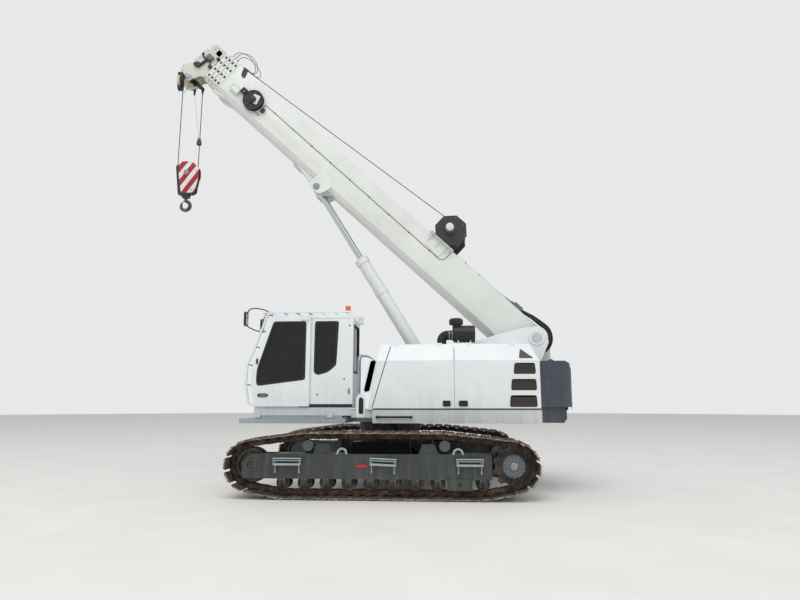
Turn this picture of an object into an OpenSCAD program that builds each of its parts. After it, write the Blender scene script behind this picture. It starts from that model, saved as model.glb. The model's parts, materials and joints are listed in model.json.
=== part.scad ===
// Telescopic boom crawler crane.
// X runs from the boom head (-X) to the counterweight (+X), the cab stands on the -Y side, Z is up.
// The origin is the middle of the overall box on the ground. All sizes are in millimetres.

/* [Tracks] */
// number of shoes on one track
shoe_count = 54; // [48:1:56]
// width of a shoe
shoe_w = 700; // [500:10:900]
// thickness of a shoe plate
shoe_t = 24; // [16:1:32]
// height of the bar across a shoe
shoe_bar = 16; // [8:1:26]
// half height of a chain link
link_half = 58; // [45:1:70]
// width of one row of chain links
link_w = 36; // [28:1:46]
// gap between the two rows of links
link_gap = 104; // [90:1:130]
// distance between the middles of the two tracks
track_gauge = 3660; // [3000:20:3800]
// distance from idler axle to sprocket axle
tumbler_span = 4700; // [4400:20:5000]
// radius of the chain's pin line round idler and sprocket
tumbler_r = 370; // [350:5:400]
// height of the idler and sprocket axles
tumbler_z = 575; // [555:5:600]
// height of the bottom rollers' axles
roller_z = 270; // [260:1:285]
// x of the first bottom roller from the middle
roller_front = -1760; // [-1850:10:-1700]
// step from one bottom roller to the next
roller_step = 396; // [380:2:400]
// number of bottom rollers on one track
roller_count = 10; // [8:1:10]
// height of the top rollers' axles
carrier_z = 915; // [905:5:940]
// x of the front top roller
carrier_front = -1330; // [-1500:10:-1200]
// x of the rear top roller
carrier_rear = 1140; // [1000:10:1300]
// number of teeth on a sprocket
teeth = 11; // [9:1:13]

/* [Track frames] */
// distance between the outer faces of a frame's two side plates
frame_w = 380; // [360:10:420]
// thickness of the side plates
frame_t = 30; // [20:1:40]
// height of the side plates' lower edge
frame_low = 345; // [330:5:360]
// height of the frame's top face
frame_top = 780; // [760:5:800]
// length of the saddle over the cross beams
saddle_len = 1120; // [1000:20:1240]
// width of one cross beam
beam_w = 440; // [380:10:480]
// height of a cross beam
beam_h = 330; // [280:10:360]
// height of the cross beams' lower face
beam_z = 640; // [600:10:680]
// roller axle radius
axle_r = 32; // [26:1:38]
// radius of the lashing eyes
lash_r = 36; // [30:1:40]

/* [Carbody and slewing ring] */
// half length of the carbody
carbody_x = 900; // [800:20:1000]
// half width of the carbody
carbody_y = 880; // [800:20:950]
// height of the carbody's lower face
carbody_low = 500; // [460:10:540]
// height of the carbody's top plate
carbody_top = 1030; // [1000:5:1060]
// outer radius of the fixed ring
ring_r = 640; // [600:10:700]
// inner radius of the fixed ring, where the turning ring runs
race_r = 560; // [520:10:590]
// running clearance of round fits
run_clear = 0.05; // [0.02:0.01:0.1]
// air between pieces that move past each other
air = 6; // [5:0.5:10]
// air between pieces that only stand side by side
seat = 0.3; // [0.2:0.05:0.5]

/* [Upper frame] */
// height of the frame's underside
deck_low = 1300; // [1290:5:1320]
// height of the frame's top
deck_top = 1550; // [1520:5:1580]
// half width of the machine's upper part
upper_y = 1500; // [1400:10:1520]
// x of the frame's front edge beside the cab
deck_front = -210; // [-300:10:-150]
// x of the frame's rear edge
deck_rear = 2945; // [2900:5:3000]
// half width of the slot for boom and cylinder
slot_y = 500; // [470:5:520]
// thickness of the tower plates beside the boom's foot
tower_t = 34; // [24:2:44]
// reach of the counterweight behind the slewing axis
tail_r = 3530; // [3450:10:3600]
// top of the counterweight
cw_top = 2460; // [2400:10:2500]

/* [Boom] */
// boom angle above the horizontal as it stands
boom_angle = 43.2; // [20:0.2:70]
// x of the boom's foot pin from the slewing axis
pivot_x = 3050; // [3000:10:3100]
// height of the boom's foot pin
pivot_z = 3000; // [2950:10:3050]
// radius of the foot pin
pivot_r = 75; // [60:1:90]
// width of the base section
boom_w = 740; // [700:10:760]
// top face of the base section above the foot pin line
boom_up = 215; // [200:5:230]
// bottom face of the base section below the foot pin line
boom_down = 585; // [560:5:600]
// wall thickness of every section
boom_t = 10; // [8:1:14]
// bevel of the lower corners
boom_bevel = 90; // [60:5:120]
// air between one section and the next
boom_gap = 22; // [18:1:30]
// length from foot pin to the base section's mouth
base_len = 9280; // [9000:20:9500]
// how far each section's collar stands out of the one before
collar_step = 110; // [90:5:130]
// stroke of one telescoping section
stroke = 6800; // [6000:100:7000]
// distance of the cylinder's eye from the foot pin, along the boom
eye_u = 5753; // [5700:5:5800]
// distance of the cylinder's eye below the foot pin line
eye_v = 710; // [700:5:740]

/* [Boom head and hook] */
// distance of the head sheave from the foot pin, along the boom
head_u = 10030; // [9950:10:10100]
// distance of the head sheave below the foot pin line
head_v = 780; // [740:10:820]
// outer radius of the head sheave
sheave_r = 240; // [220:5:260]
// groove radius of the head sheave
groove_r = 208; // [195:1:215]
// thickness of a sheave
sheave_t = 52; // [44:2:60]
// radius of the rope
rope_r = 9; // [7:0.5:11]
// height from the head sheave's axle down to the block's sheave
fall_len = 2330; // [2000:10:2600]
// groove radius of the block's sheave
block_r = 236; // [220:2:250]
// radius of the hook's shank
hook_r = 36; // [30:1:42]

/* [Luffing cylinder] */
// x of the cylinder's foot pin
foot_x = 1092; // [1050:2:1150]
// height of the cylinder's foot pin
foot_z = 1950; // [1900:10:2000]
// outer radius of the barrel
barrel_r = 140; // [130:1:150]
// radius of the piston rod
rod_r = 68; // [60:1:75]
// length of the barrel from its foot pin
barrel_len = 3366; // [3300:2:3400]
// radius of the cylinder pins
eye_pin_r = 45; // [38:1:50]

/* [Cab] */
// x of the cab's rear wall
cab_rear = -600; // [-640:5:-560]
// height of the cab floor's underside
cab_low = 1580; // [1560:5:1600]
// height of the cab's roof
cab_top = 3375; // [3300:5:3400]
// inner side of the cab from the middle of the machine
cab_in = 520; // [500:5:560]
// thickness of the cab's walls and posts
cab_t = 45; // [35:1:60]
// thickness of the panes
pane_t = 6; // [4:1:8]
// thickness of the sliding door
door_t = 38; // [30:1:45]
// x of the split between door and rear side wall
door_split = -1430; // [-1450:5:-1400]

/* [Housings] */
// height of the housings' top
hood_top = 2805; // [2780:5:2830]
// height where the side panels bend inwards
hood_bend = 2470; // [2440:5:2500]
// thickness of the sheet panels
sheet = 8; // [5:1:12]
// x of the split between the two side flaps
flap_split = 1340; // [1300:5:1380]

/* [Hidden] */
fine = 64;
pi = 3.14159265;

// places worked out from the sizes above
half_gauge = track_gauge / 2;
run_z = link_half + shoe_t + shoe_bar;
roller_r = roller_z - run_z - link_half - seat;
bottom_r = roller_z - run_z;
last_roller = roller_front + roller_step * (roller_count - 1);
// a straight link cuts the corner where the chain bends over a roller
bend_room = 9;
end_roller_r = roller_r - bend_room - 0.5;
carrier_r = 97;
carrier_pin_r = carrier_r + link_half + bend_room;

// boom directions: u runs out along the boom, v stands up from it
function boom_x(u, v) = pivot_x - u * cos(boom_angle) + v * sin(boom_angle);
function boom_z(u, v) = pivot_z + u * sin(boom_angle) + v * cos(boom_angle);
head_x = boom_x(head_u, -head_v);
head_z = boom_z(head_u, -head_v);
block_z = head_z - fall_len;
fall_front = head_x - groove_r - rope_r;
block_x = fall_front + block_r + rope_r;
fall_rear = block_x + block_r + rope_r;
front_reach = head_x - sheave_r;
slew_x = -(front_reach + tail_r) / 2;

eye_x = boom_x(eye_u, -eye_v);
eye_z = boom_z(eye_u, -eye_v);
luff_len = sqrt(pow(eye_x - foot_x, 2) + pow(eye_z - foot_z, 2));
luff_angle = atan2(eye_z - foot_z, foot_x - eye_x);

// pulleys of the chain: x, z, radius of the pin line
pulleys = [
  [-tumbler_span / 2, tumbler_z, tumbler_r],
  [carrier_front, carrier_z, carrier_pin_r],
  [carrier_rear, carrier_z, carrier_pin_r],
  [tumbler_span / 2, tumbler_z, tumbler_r],
  [last_roller, roller_z, bottom_r],
  [roller_front, roller_z, bottom_r]
];
np = len(pulleys);
function nxt(i) = (i + 1) % np;
function prv(i) = (i + np - 1) % np;
function px(i) = pulleys[i][0];
function pz(i) = pulleys[i][1];
function pr(i) = pulleys[i][2];
function gap(i) = sqrt(pow(px(nxt(i)) - px(i), 2) + pow(pz(nxt(i)) - pz(i), 2));
// angle of the outward normal on the straight run after pulley i
function nrm(i) = atan2(pz(nxt(i)) - pz(i), px(nxt(i)) - px(i)) + acos((pr(i) - pr(nxt(i))) / gap(i));
function turn(a) = a < 0 ? turn(a + 360) : (a >= 360 ? turn(a - 360) : a);
function arc_deg(i) = turn(nrm(prv(i)) - nrm(i));
function arc_len(i) = arc_deg(i) * pi / 180 * pr(i);
function run_len(i) = sqrt(pow(gap(i), 2) - pow(pr(i) - pr(nxt(i)), 2));
function upto(i) = i == 0 ? 0 : upto(i - 1) + arc_len(i - 1) + run_len(i - 1);
starts = [for (i = [0 : np]) upto(i)];
loop_len = starts[np];
shoe_pitch = loop_len / shoe_count;
function leg(s, i = 0) = s < starts[i + 1] || i == np - 1 ? i : leg(s, i + 1);
// point of the pin line at distance s: x, z
function on_leg(s, i) =
  let (d = s - starts[i], a = nrm(prv(i)) - min(d / pr(i) * 180 / pi, arc_deg(i)), r = max(0, d - arc_len(i)))
  [px(i) + pr(i) * cos(a) + r * sin(a), pz(i) + pr(i) * sin(a) - r * cos(a)];
function pin_at(s) = let (t = s >= loop_len ? s - loop_len : s) on_leg(t, leg(t));
pins = [for (k = [0 : shoe_count - 1]) pin_at(k * shoe_pitch)];
function pin(k) = pins[k % shoe_count];
// a point beside link k: a along the link from its middle, n outwards
function by_link(k, a, n) =
  let (p = pin(k), q = pin(k + 1), l = sqrt(pow(q[0] - p[0], 2) + pow(q[1] - p[1], 2)),
       tx = (q[0] - p[0]) / l, tz = (q[1] - p[1]) / l)
  [(p[0] + q[0]) / 2 + a * tx - n * tz, (p[1] + q[1]) / 2 + a * tz + n * tx];
// the corner between links k - 1 and k, n outwards from both
function by_pin(k, n) =
  let (p = pin(k + shoe_count - 1), q = pin(k), r = pin(k + 1), a = atan2(q[1] - p[1], q[0] - p[0]), b = atan2(r[1] - q[1], r[0] - q[0]),
       d = turn(a - b) > 180 ? turn(a - b) - 360 : turn(a - b), m = a - d / 2 + 90, l = n / cos(d / 2))
  [q[0] + l * cos(m), q[1] + l * sin(m)];
shoe_in = link_half;
shoe_out = link_half + shoe_t;
shoe_half = shoe_pitch / 2 - 4;
shoe_line = [
  [-shoe_half, shoe_in - 6], [-shoe_half + 12, shoe_out], [-18, shoe_out], [-10, shoe_out + shoe_bar],
  [10, shoe_out + shoe_bar], [18, shoe_out], [shoe_half - 12, shoe_out], [shoe_half, shoe_in - 6]
];
// polygonal chain on a round wheel: the flat links stand this much lower than the pins
chord_cos = cos(shoe_pitch / tumbler_r * 90 / pi);
idler_r = tumbler_r * chord_cos - link_half - seat;

module at_slew() translate([slew_x, 0, 0]) children();
module at_boom() translate([slew_x + pivot_x, 0, pivot_z]) rotate([0, boom_angle, 0]) children();
module mirror_y(both = true) {
  children();
  if (both) mirror([0, 1, 0]) children();
}
// plate drawn in X and Z, from y0 to y1
module slab(pts, y0, y1) translate([0, y1, 0]) rotate([90, 0, 0]) linear_extrude(y1 - y0) polygon(pts);
// bar drawn in Y and Z, from x0 to x1
module bar(pts, x0, x1) translate([x0, 0, 0]) rotate([90, 0, 90]) linear_extrude(x1 - x0) polygon(pts);
module cyl_y(x, z, r, y0, y1) translate([x, y1, z]) rotate([90, 0, 0]) cylinder(r = r, h = y1 - y0, $fn = fine);
module cyl_x(y, z, r, x0, x1) translate([x0, y, z]) rotate([0, 90, 0]) cylinder(r = r, h = x1 - x0, $fn = fine);
module box(x0, x1, y0, y1, z0, z1) translate([x0, y0, z0]) cube([x1 - x0, y1 - y0, z1 - z0]);

// undercarriage
module track_one(y) {
  outer = [for (k = [0 : shoe_count - 1]) for (p = shoe_line) by_link(k, p[0], p[1])];
  inner = [for (k = [0 : shoe_count - 1]) by_link(k, 0, shoe_in - 14)];
  rail_out = [for (k = [0 : shoe_count - 1]) by_link(k, 0, link_half - 1)];
  rail_in = [for (k = [0 : shoe_count - 1]) by_pin(k, -link_half)];
  translate([0, y + shoe_w / 2, 0]) rotate([90, 0, 0]) linear_extrude(shoe_w) difference() {
    polygon(outer);
    polygon(inner);
  }
  for (s = [-1, 1])
    translate([0, y + s * (link_gap + link_w) / 2 + link_w / 2, 0]) rotate([90, 0, 0]) linear_extrude(link_w) difference() {
      polygon(rail_out);
      polygon(rail_in);
    }
}
module track_left() color([0.26, 0.19, 0.15]) at_slew() track_one(-half_gauge);
module track_right() color([0.26, 0.19, 0.15]) at_slew() track_one(half_gauge);

module roller_body(x, z, y, r) {
  for (s = [-1, 1]) {
    cyl_y(x, z, r, y + s * 72 - 30, y + s * 72 + 31);
    cyl_y(x, z, r + 18, y + s * 112 - 9, y + s * 112 + 9);
  }
  cyl_y(x, z, r - 25, y - 72, y + 72);
  cyl_y(x, z, axle_r, y - frame_w / 2 - 4, y + frame_w / 2 + 4);
}
module carrier_body(x, y) {
  cyl_y(x, carrier_z, carrier_r, y - 95, y + 95);
  cyl_y(x, carrier_z, axle_r, y - 95, y + 150);
  cyl_y(x, carrier_z, 45, y - 104, y - 95);
}
module rollers_one() {
  y = -half_gauge;
  for (k = [0 : roller_count - 1])
    roller_body(roller_front + k * roller_step, roller_z, y, k == 0 || k == roller_count - 1 ? end_roller_r : roller_r);
  for (x = [carrier_front, carrier_rear]) carrier_body(x, y);
}
module rollers_left() color([0.25, 0.24, 0.23]) at_slew() rollers_one();
module rollers_right() color([0.25, 0.24, 0.23]) at_slew() mirror([0, 1, 0]) rollers_one();

module idler_one() {
  x = -tumbler_span / 2;
  y = -half_gauge;
  difference() {
    union() {
      cyl_y(x, tumbler_z, idler_r, y - 92, y + 92);
      cyl_y(x, tumbler_z, idler_r + 22, y - link_gap / 2 + 6, y + link_gap / 2 - 6);
    }
    for (s = [-1, 1]) cyl_y(x, tumbler_z, idler_r - 55, y + s * 66 - 30, y + s * 66 + 30);
  }
  cyl_y(x, tumbler_z, 110, y - 120, y + 120);
  cyl_y(x, tumbler_z, 60, y - frame_w / 2 + frame_t + seat, y + frame_w / 2 - frame_t - seat);
}

module sprocket_one() {
  x = tumbler_span / 2;
  y = -half_gauge;
  root = tumbler_r - 42;
  tip = tumbler_r + 8;
  step = 360 / teeth;
  pts = [for (k = [0 : teeth - 1]) for (p = [[-0.34, root], [-0.14, tip], [0.14, tip], [0.34, root]])
    [x + p[1] * cos((k + p[0]) * step), tumbler_z + p[1] * sin((k + p[0]) * step)]];
  difference() {
    slab(pts, y - link_gap / 2 + 12, y + link_gap / 2 - 12);
    cyl_y(x, tumbler_z, 255, y - 60, y + 60);
  }
  difference() {
    cyl_y(x, tumbler_z, 275, y - 48, y - 8);
    cyl_y(x, tumbler_z, 200 + seat, y - 60, y + 60);
  }
}
module tumblers() color([0.36, 0.22, 0.15]) at_slew() mirror_y() {
  idler_one();
  sprocket_one();
}

module drive_one() {
  x = tumbler_span / 2;
  y = -half_gauge;
  cyl_y(x, tumbler_z, 200, y - 130, y + 60);
  cyl_y(x, tumbler_z, 212, y - 66, y - 49);
  cyl_y(x, tumbler_z, 175, y - 152, y - 130);
  cyl_y(x, tumbler_z, 62, y - 166, y - 152);
  for (k = [0 : 11]) cyl_y(x + 188 * cos(k * 30), tumbler_z + 188 * sin(k * 30), 9, y - 76, y - 66);
  cyl_y(x, tumbler_z, 235, y + 60, y + 100);
  cyl_y(x, tumbler_z, 120, y + 100 - 1, y + 330);
}
module final_drives() color([0.42, 0.44, 0.45]) at_slew() mirror_y() drive_one();

lash_x = [carrier_front + 640, carrier_rear + 235];
module track_frame_one() {
  y = -half_gauge;
  o = frame_w / 2;
  xf = -tumbler_span / 2 - 160;
  xr = last_roller + 160;
  sx = saddle_len / 2;
  top = beam_z + beam_h + 20;
  side = [[xf, frame_low + 60], [xf, frame_top - 150], [xf + 150, frame_top], [-sx, frame_top], [-sx + 40, top], [sx - 40, top],
    [sx, frame_top], [xr - 20, frame_top], [xr, frame_top - 20], [xr, frame_low], [xf + 40, frame_low]];
  difference() {
    union() {
      for (s = [-1, 1]) slab(side, y + s * (o - frame_t / 2) - frame_t / 2, y + s * (o - frame_t / 2) + frame_t / 2);
      // top plates
      box(xf + 620, -sx, y - o + frame_t, y + o - frame_t, frame_top - 24, frame_top - 2);
      box(sx, xr - 30, y - o + frame_t, y + o - frame_t, frame_top - 24, frame_top - 2);
      box(-sx + 40, sx - 40, y - o + frame_t, y + o - frame_t, top - 18, top);
      box(-sx + 20, sx - 20, y - o + frame_t, y + o - frame_t, beam_z - 30, beam_z - seat);
      for (x = [-1450, -800, 900, 1500]) box(x, x + 20, y - o + frame_t, y + o - frame_t, frame_top - 300, frame_top - 20);
      // axle blocks under the plates
      for (k = [0 : roller_count - 1]) for (s = [-1, 1])
        box(roller_front + k * roller_step - 62, roller_front + k * roller_step + 62, y + s * (o - frame_t / 2) - frame_t / 2,
          y + s * (o - frame_t / 2) + frame_t / 2, roller_z - 46, frame_low + 10);
      // posts of the top rollers
      for (x = [carrier_front, carrier_rear]) slab([[x - 90, frame_top - 10], [x + 90, frame_top - 10], [x + 55, carrier_z + 50],
        [x - 55, carrier_z + 50]], y + 105, y + 140);
      // slides beside the top rollers, both on the side towards the middle
      for (x = [carrier_front + 290, carrier_rear - 290]) slab([[x - 180, frame_top - 10], [x + 180, frame_top - 10],
        [x + 110, 950], [x - 110, 950]], y - o + 20, y - o + 60);
      // end plate that carries the drive
      slab([[xr - 260, roller_z + 170], [xr - 260, frame_top - 10], [tumbler_span / 2 - 60, tumbler_z + 262],
        [tumbler_span / 2 + 200, tumbler_z + 170], [tumbler_span / 2 + 250, tumbler_z], [tumbler_span / 2 + 200, tumbler_z - 170],
        [tumbler_span / 2 - 60, tumbler_z - 262]], y + 100 + seat, y + 100 + seat + 44);
      // lashing eyes
      for (x = lash_x) difference() {
        cyl_y(x, frame_top + 12, 100, y - o, y - o + frame_t);
        box(x - 120, x + 120, y - o - 10, y - o + 90, frame_top - 130, frame_top - 20);
      }
      // chain guide near the rear rollers
      box(1180, 1620, y - o - 26, y - o, 165, frame_low + 20);
    }
    for (k = [0 : roller_count - 1]) cyl_y(roller_front + k * roller_step, roller_z, axle_r + run_clear, y - 300, y + 300);
    for (x = [carrier_front, carrier_rear]) cyl_y(x, carrier_z, axle_r + run_clear, y + 90, y + 160);
    for (x = lash_x) cyl_y(x, frame_top + 52, lash_r, y - o - 40, y - o + 90);
    // windows for the cross beams
    for (s = [-1, 1]) box(s * (saddle_len / 4) - beam_w / 2 - 2, s * (saddle_len / 4) + beam_w / 2 + 2, y - 400, y + 400,
      beam_z - seat, beam_z + beam_h + seat);
    // slot of the drive in the end plate
    cyl_y(tumbler_span / 2, tumbler_z, 120 + seat, y + 90, y + 160);
    // grease hole of the front end
    cyl_y(-tumbler_span / 2, tumbler_z, 70, y - 300, y - 170);
  }
}
module track_frame_left() color([0.22, 0.25, 0.24]) at_slew() track_frame_one();
module track_frame_right() color([0.22, 0.25, 0.24]) at_slew() mirror([0, 1, 0]) track_frame_one();

module step_one(x, w) {
  y = -half_gauge - frame_w / 2;
  for (z = [470, 700]) box(x - w / 2, x + w / 2, y - 130, y - 60, z, z + 26);
  for (s = [-1, 1]) box(x + s * (w / 2 - 15) - 15, x + s * (w / 2 - 15) + 15, y - 100, y - 70, 470, 720);
  for (s = [-1, 1]) for (z = [500, 690]) box(x + s * (w / 2 - 40) - 20, x + s * (w / 2 - 40) + 20, y - 75, y - seat, z - 15, z + 15);
}
module side_steps() color([0.66, 0.69, 0.71]) at_slew() mirror_y() for (x = [-1660, 40, 1560]) step_one(x, 460);

module carbody() color([0.22, 0.25, 0.24]) at_slew() {
  difference() {
    union() {
      bar([[-carbody_y, carbody_low + 90], [-carbody_y, carbody_top - 60], [-carbody_y + 120, carbody_top], [carbody_y - 120, carbody_top],
        [carbody_y, carbody_top - 60], [carbody_y, carbody_low + 90], [carbody_y - 90, carbody_low], [-carbody_y + 90, carbody_low]],
        -carbody_x, carbody_x);
      for (s = [-1, 1]) box(s * (saddle_len / 4) - beam_w / 2, s * (saddle_len / 4) + beam_w / 2, -half_gauge - frame_w / 2,
        half_gauge + frame_w / 2, beam_z, beam_z + beam_h);
      translate([0, 0, carbody_top - 20]) cylinder(r = ring_r - 20, h = 150, $fn = fine);
      translate([0, 0, carbody_top + 90]) cylinder(r = ring_r, h = deck_low - carbody_top - 90 - air, $fn = fine);
    }
    translate([0, 0, carbody_top + 100]) cylinder(r = race_r + run_clear, h = 400, $fn = fine);
    translate([0, 0, carbody_low - 10]) cylinder(r = race_r - 110, h = 900, $fn = fine);
    for (s = [-1, 1]) box(s * (saddle_len / 4) - beam_w / 2 + 20, s * (saddle_len / 4) + beam_w / 2 - 20, -half_gauge - 400,
      -carbody_y - 20, beam_z + 20, beam_z + beam_h - 20);
    for (s = [-1, 1]) box(s * (saddle_len / 4) - beam_w / 2 + 20, s * (saddle_len / 4) + beam_w / 2 - 20, carbody_y + 20,
      half_gauge + 400, beam_z + 20, beam_z + beam_h - 20);
    box(-carbody_x + 30, -carbody_x + 200, -600, 600, carbody_low + 60, carbody_top - 60);
  }
}

// upper frame
module upper_frame() color([0.80, 0.83, 0.84]) at_slew() {
  ty = slot_y;
  difference() {
    union() {
      // side decks and the middle deck
      box(deck_front, deck_rear, -upper_y, upper_y, deck_low, deck_top);
      box(-820, deck_front + 1, -700, 700, deck_low, deck_top);
    }
    // hollow underneath, in bays
    for (s = [-1, 1]) {
      box(deck_front + 20, deck_rear - 20, s * (ty + upper_y) / 2 - (upper_y - ty) / 2 + 20, s * (ty + upper_y) / 2 + (upper_y - ty) / 2 - 20,
        deck_low - 1, deck_top - 20);
    }
    box(800, deck_rear - 20, -ty + 40, ty - 40, deck_low - 1, deck_top - 20);
    // well under the cylinder's foot
    box(380, 1340, -190, 190, deck_low + 80, deck_top + 1);
  }
  // turning ring
  difference() {
    translate([0, 0, carbody_top + 100 + air]) cylinder(r = race_r, h = deck_low - carbody_top - 100 - air + 1, $fn = fine);
    translate([0, 0, carbody_top]) cylinder(r = race_r - 80, h = 400, $fn = fine);
  }
  // tower plates
  for (s = [-1, 1]) difference() {
    union() {
      slab([[420, deck_top - 1], [640, 1900], [1500, 2720], [1780, 2920], [2310, 3085], [2850, 3215], [pivot_x + 60, 3205],
        [pivot_x + 215, 3080], [pivot_x + 240, 2900], [pivot_x + 60, 2480], [2890, 2300], [2890, deck_top - 1]],
        s * (ty + tower_t / 2) - tower_t / 2, s * (ty + tower_t / 2) + tower_t / 2);
      cyl_y(pivot_x, pivot_z, 150, s * (ty + tower_t / 2 + 10) - tower_t / 2 - 10, s * (ty + tower_t / 2 + 10) + tower_t / 2 + 10);
    }
    cyl_y(pivot_x, pivot_z, pivot_r - 1, s * ty - 100, s * ty + 100);
    slab([[1000, 1800], [1950, 2650], [2450, 2650], [2450, 1800]], s * ty - 100, s * ty + 100);
  }
  // foot pin of the boom
  cyl_y(pivot_x, pivot_z, pivot_r, -ty - tower_t - 30, ty + tower_t + 30);
  // cross plates between the towers
  box(2870, 2890, -ty, ty, deck_top - 1, 2330);
  box(1950, 1975, -ty, ty, deck_top - 1, 1780);
  // clevis of the luffing cylinder with its two pin stubs
  for (s = [-1, 1]) {
    difference() {
      slab([[foot_x - 330, deck_top - 1], [foot_x - 130, foot_z + 60], [foot_x - 60, foot_z + 125], [foot_x + 60, foot_z + 125],
        [foot_x + 130, foot_z + 60], [foot_x + 330, deck_top - 1]], s * 222 - 20, s * 222 + 20);
      cyl_y(foot_x, foot_z, eye_pin_r - 1, s * 222 - 50, s * 222 + 50);
    }
    cyl_y(foot_x, foot_z, eye_pin_r, s * 228 - 30, s * 228 + 30);
  }
  // beams under cab and walkway
  for (x = [-2480, -1080]) box(x, x + 110, -1480, -560, 1400, 1520);
  box(-2500, -800, -700, -600, 1390, 1540);
  box(-2500, -800, -1420, -1320, 1390, 1500);
}

module counterweight() color([0.24, 0.27, 0.31]) at_slew() {
  x0 = deck_rear + seat;
  r = 130;
  difference() {
    union() {
      slab([[x0, 1620], [x0, cw_top - 25], [x0 + 25, cw_top], [tail_r - 120, cw_top], [tail_r - 30, cw_top - 45], [tail_r, cw_top - 140],
        [tail_r, 1640], [tail_r - 40, 1600], [x0 + 20, 1600]], -1450, 1450);
      slab([[x0, 1310], [x0, 1601], [tail_r - 110, 1601], [tail_r - 110, 1380], [tail_r - 170, 1310]], -1380, 1380);
    }
    // seam between the two slabs
    for (s = [-1, 1]) box(x0 - 10, tail_r + 10, s * 1450 - 5, s * 1450 + 5, 2155, 2165);
    box(tail_r - 5, tail_r + 10, -1500, 1500, 2155, 2165);
    // rounded rear corners
    for (s = [-1, 1]) difference() {
      box(tail_r - r, tail_r + 10, s > 0 ? 1450 - r : -1460, s > 0 ? 1460 : -1450 + r, 1300, 2500);
      translate([tail_r - r, s * (1450 - r), 1290]) cylinder(r = r, h = 1300, $fn = fine);
    }
    // recess over the boom's foot bracket
    box(x0 - 1, x0 + 330, -600, 600, 2330, 2500);
  }
}

module engine_block() color([0.30, 0.31, 0.32]) at_slew() {
  box(900, 2300, 620, 1280, deck_top + seat, 2250);
}

// the housings' sides lean in above the bend
bend_in = 250;
bend_k = (hood_top - hood_bend) / bend_in;
// housing with open side for its flaps; drawn on the -Y side
module hood_one() {
  x0 = deck_front - 10;
  x1 = deck_rear - 8;
  y0 = slot_y + tower_t + 40;
  y1 = upper_y;
  yt = upper_y - bend_in;
  difference() {
    slab([[x0 - 90, deck_top + seat], [x0 + 175, hood_top], [x1 - 175, hood_top], [x1, hood_bend], [x1, deck_top + seat]], -y1, -y0);
    // bend of the side
    bar([[-y1 - 60, hood_bend - 60 * bend_k], [-yt, hood_top], [-yt, hood_top + 50], [-y1 - 60, hood_top + 50]], x0 - 300, x1 + 100);
    // hollow inside
    difference() {
      slab([[x0 - 90 + sheet * 1.1, deck_top - 1], [x0 + 175 + sheet, hood_top - sheet], [x1 - 175 - sheet, hood_top - sheet],
        [x1 - sheet, hood_bend - 4], [x1 - sheet, deck_top - 1]], -y1 + sheet, -y0 - sheet);
      bar([[-y1 - 1, hood_bend - sheet], [-yt, hood_top - sheet * 1.3], [-yt, hood_top + 50], [-y1 - 60, hood_top + 50],
        [-y1 - 60, hood_bend - sheet]], x0 - 300, x1 + 100);
    }
    // side opening under the flaps
    box(flap_x0 + 40, flap_x1 - 40, -y1 - 50, -yt - 60, deck_top + 60, hood_top + 5);
  }
}
flap_x0 = deck_front + 10;
flap_x1 = deck_rear - 16;
module hood_left() color([0.90, 0.92, 0.92]) at_slew() hood_one();
module hood_right() color([0.90, 0.92, 0.92]) at_slew() mirror([0, 1, 0]) hood_one();

// side flap: bent sheet, hinged along its upper edge
flap_hinge_y = upper_y - bend_in - 20;
flap_pin_r = 12;
flap_hinge_z = hood_top + flap_pin_r + seat;
module flap_shape(x0, x1, lean0, lean1) {
  k = bend_k;
  q = sqrt(1 + k * k);
  o = seat;
  t = sheet;
  yt = upper_y - bend_in + 14;
  zi = hood_bend + (upper_y - yt) * k;
  intersection() {
    bar([[-upper_y - o, deck_top + 30], [-upper_y - o - t, deck_top + 30], [-upper_y - o - t, hood_bend - (o + t) * k + (o + t) * q],
      [-yt, zi + (o + t) * q], [-yt, zi + o * q], [-upper_y - o, hood_bend - o * k + o * q]], x0 - 10, x1 + 10);
    slab([[x0, deck_top + 20], [x0 + lean0, hood_top + 60], [x1 - lean1, hood_top + 60], [x1, hood_bend - 20], [x1, deck_top + 20]],
      -upper_y - 100, -yt + 100);
  }
  // hinge knuckles with their straps
  for (f = [0.2, 0.8]) {
    xc = x0 + lean0 + (x1 - lean1 - x0 - lean0) * f;
    cyl_x(-flap_hinge_y, flap_hinge_z, flap_pin_r, xc - 60, xc + 60);
    bar([[-flap_hinge_y, hood_top + seat], [-flap_hinge_y, hood_top + seat + 10], [-yt + 4, hood_top + seat + 10],
      [-yt - 24, hood_top - 16], [-yt - 24, hood_top - 34], [-yt + 2, hood_top + seat]], xc - 50, xc + 50);
  }
}
module flap_front_one() {
  flap_shape(flap_x0 - 60, flap_split - 6, 190, 0);
  for (dz = [0, 30]) box(flap_split - 220, flap_split - 80, -upper_y - sheet - 28, -upper_y - sheet, 1640 + dz, 1660 + dz);
}
module flap_rear_one() {
  flap_shape(flap_split + 6, flap_x1, 0, 170);
  for (dz = [0, 30]) box(flap_split + 80, flap_split + 240, -upper_y - sheet - 28, -upper_y - sheet, 1640 + dz, 1660 + dz);
}
module flap_left_front() color([0.91, 0.93, 0.93]) at_slew() flap_front_one();
module flap_left_rear() color([0.91, 0.93, 0.93]) at_slew() flap_rear_one();
module flap_right_front() color([0.91, 0.93, 0.93]) at_slew() mirror([0, 1, 0]) flap_front_one();
module flap_right_rear() color([0.91, 0.93, 0.93]) at_slew() mirror([0, 1, 0]) flap_rear_one();

module walkway() color([0.66, 0.70, 0.73]) at_slew() {
  difference() {
    box(-2720, -700, -1660, -700, 1300, 1385);
    for (k = [0 : 7]) box(-2680 + k * 245, -2680 + k * 245 + 205, -1620, -740, 1290, 1375);
  }
}

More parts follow.
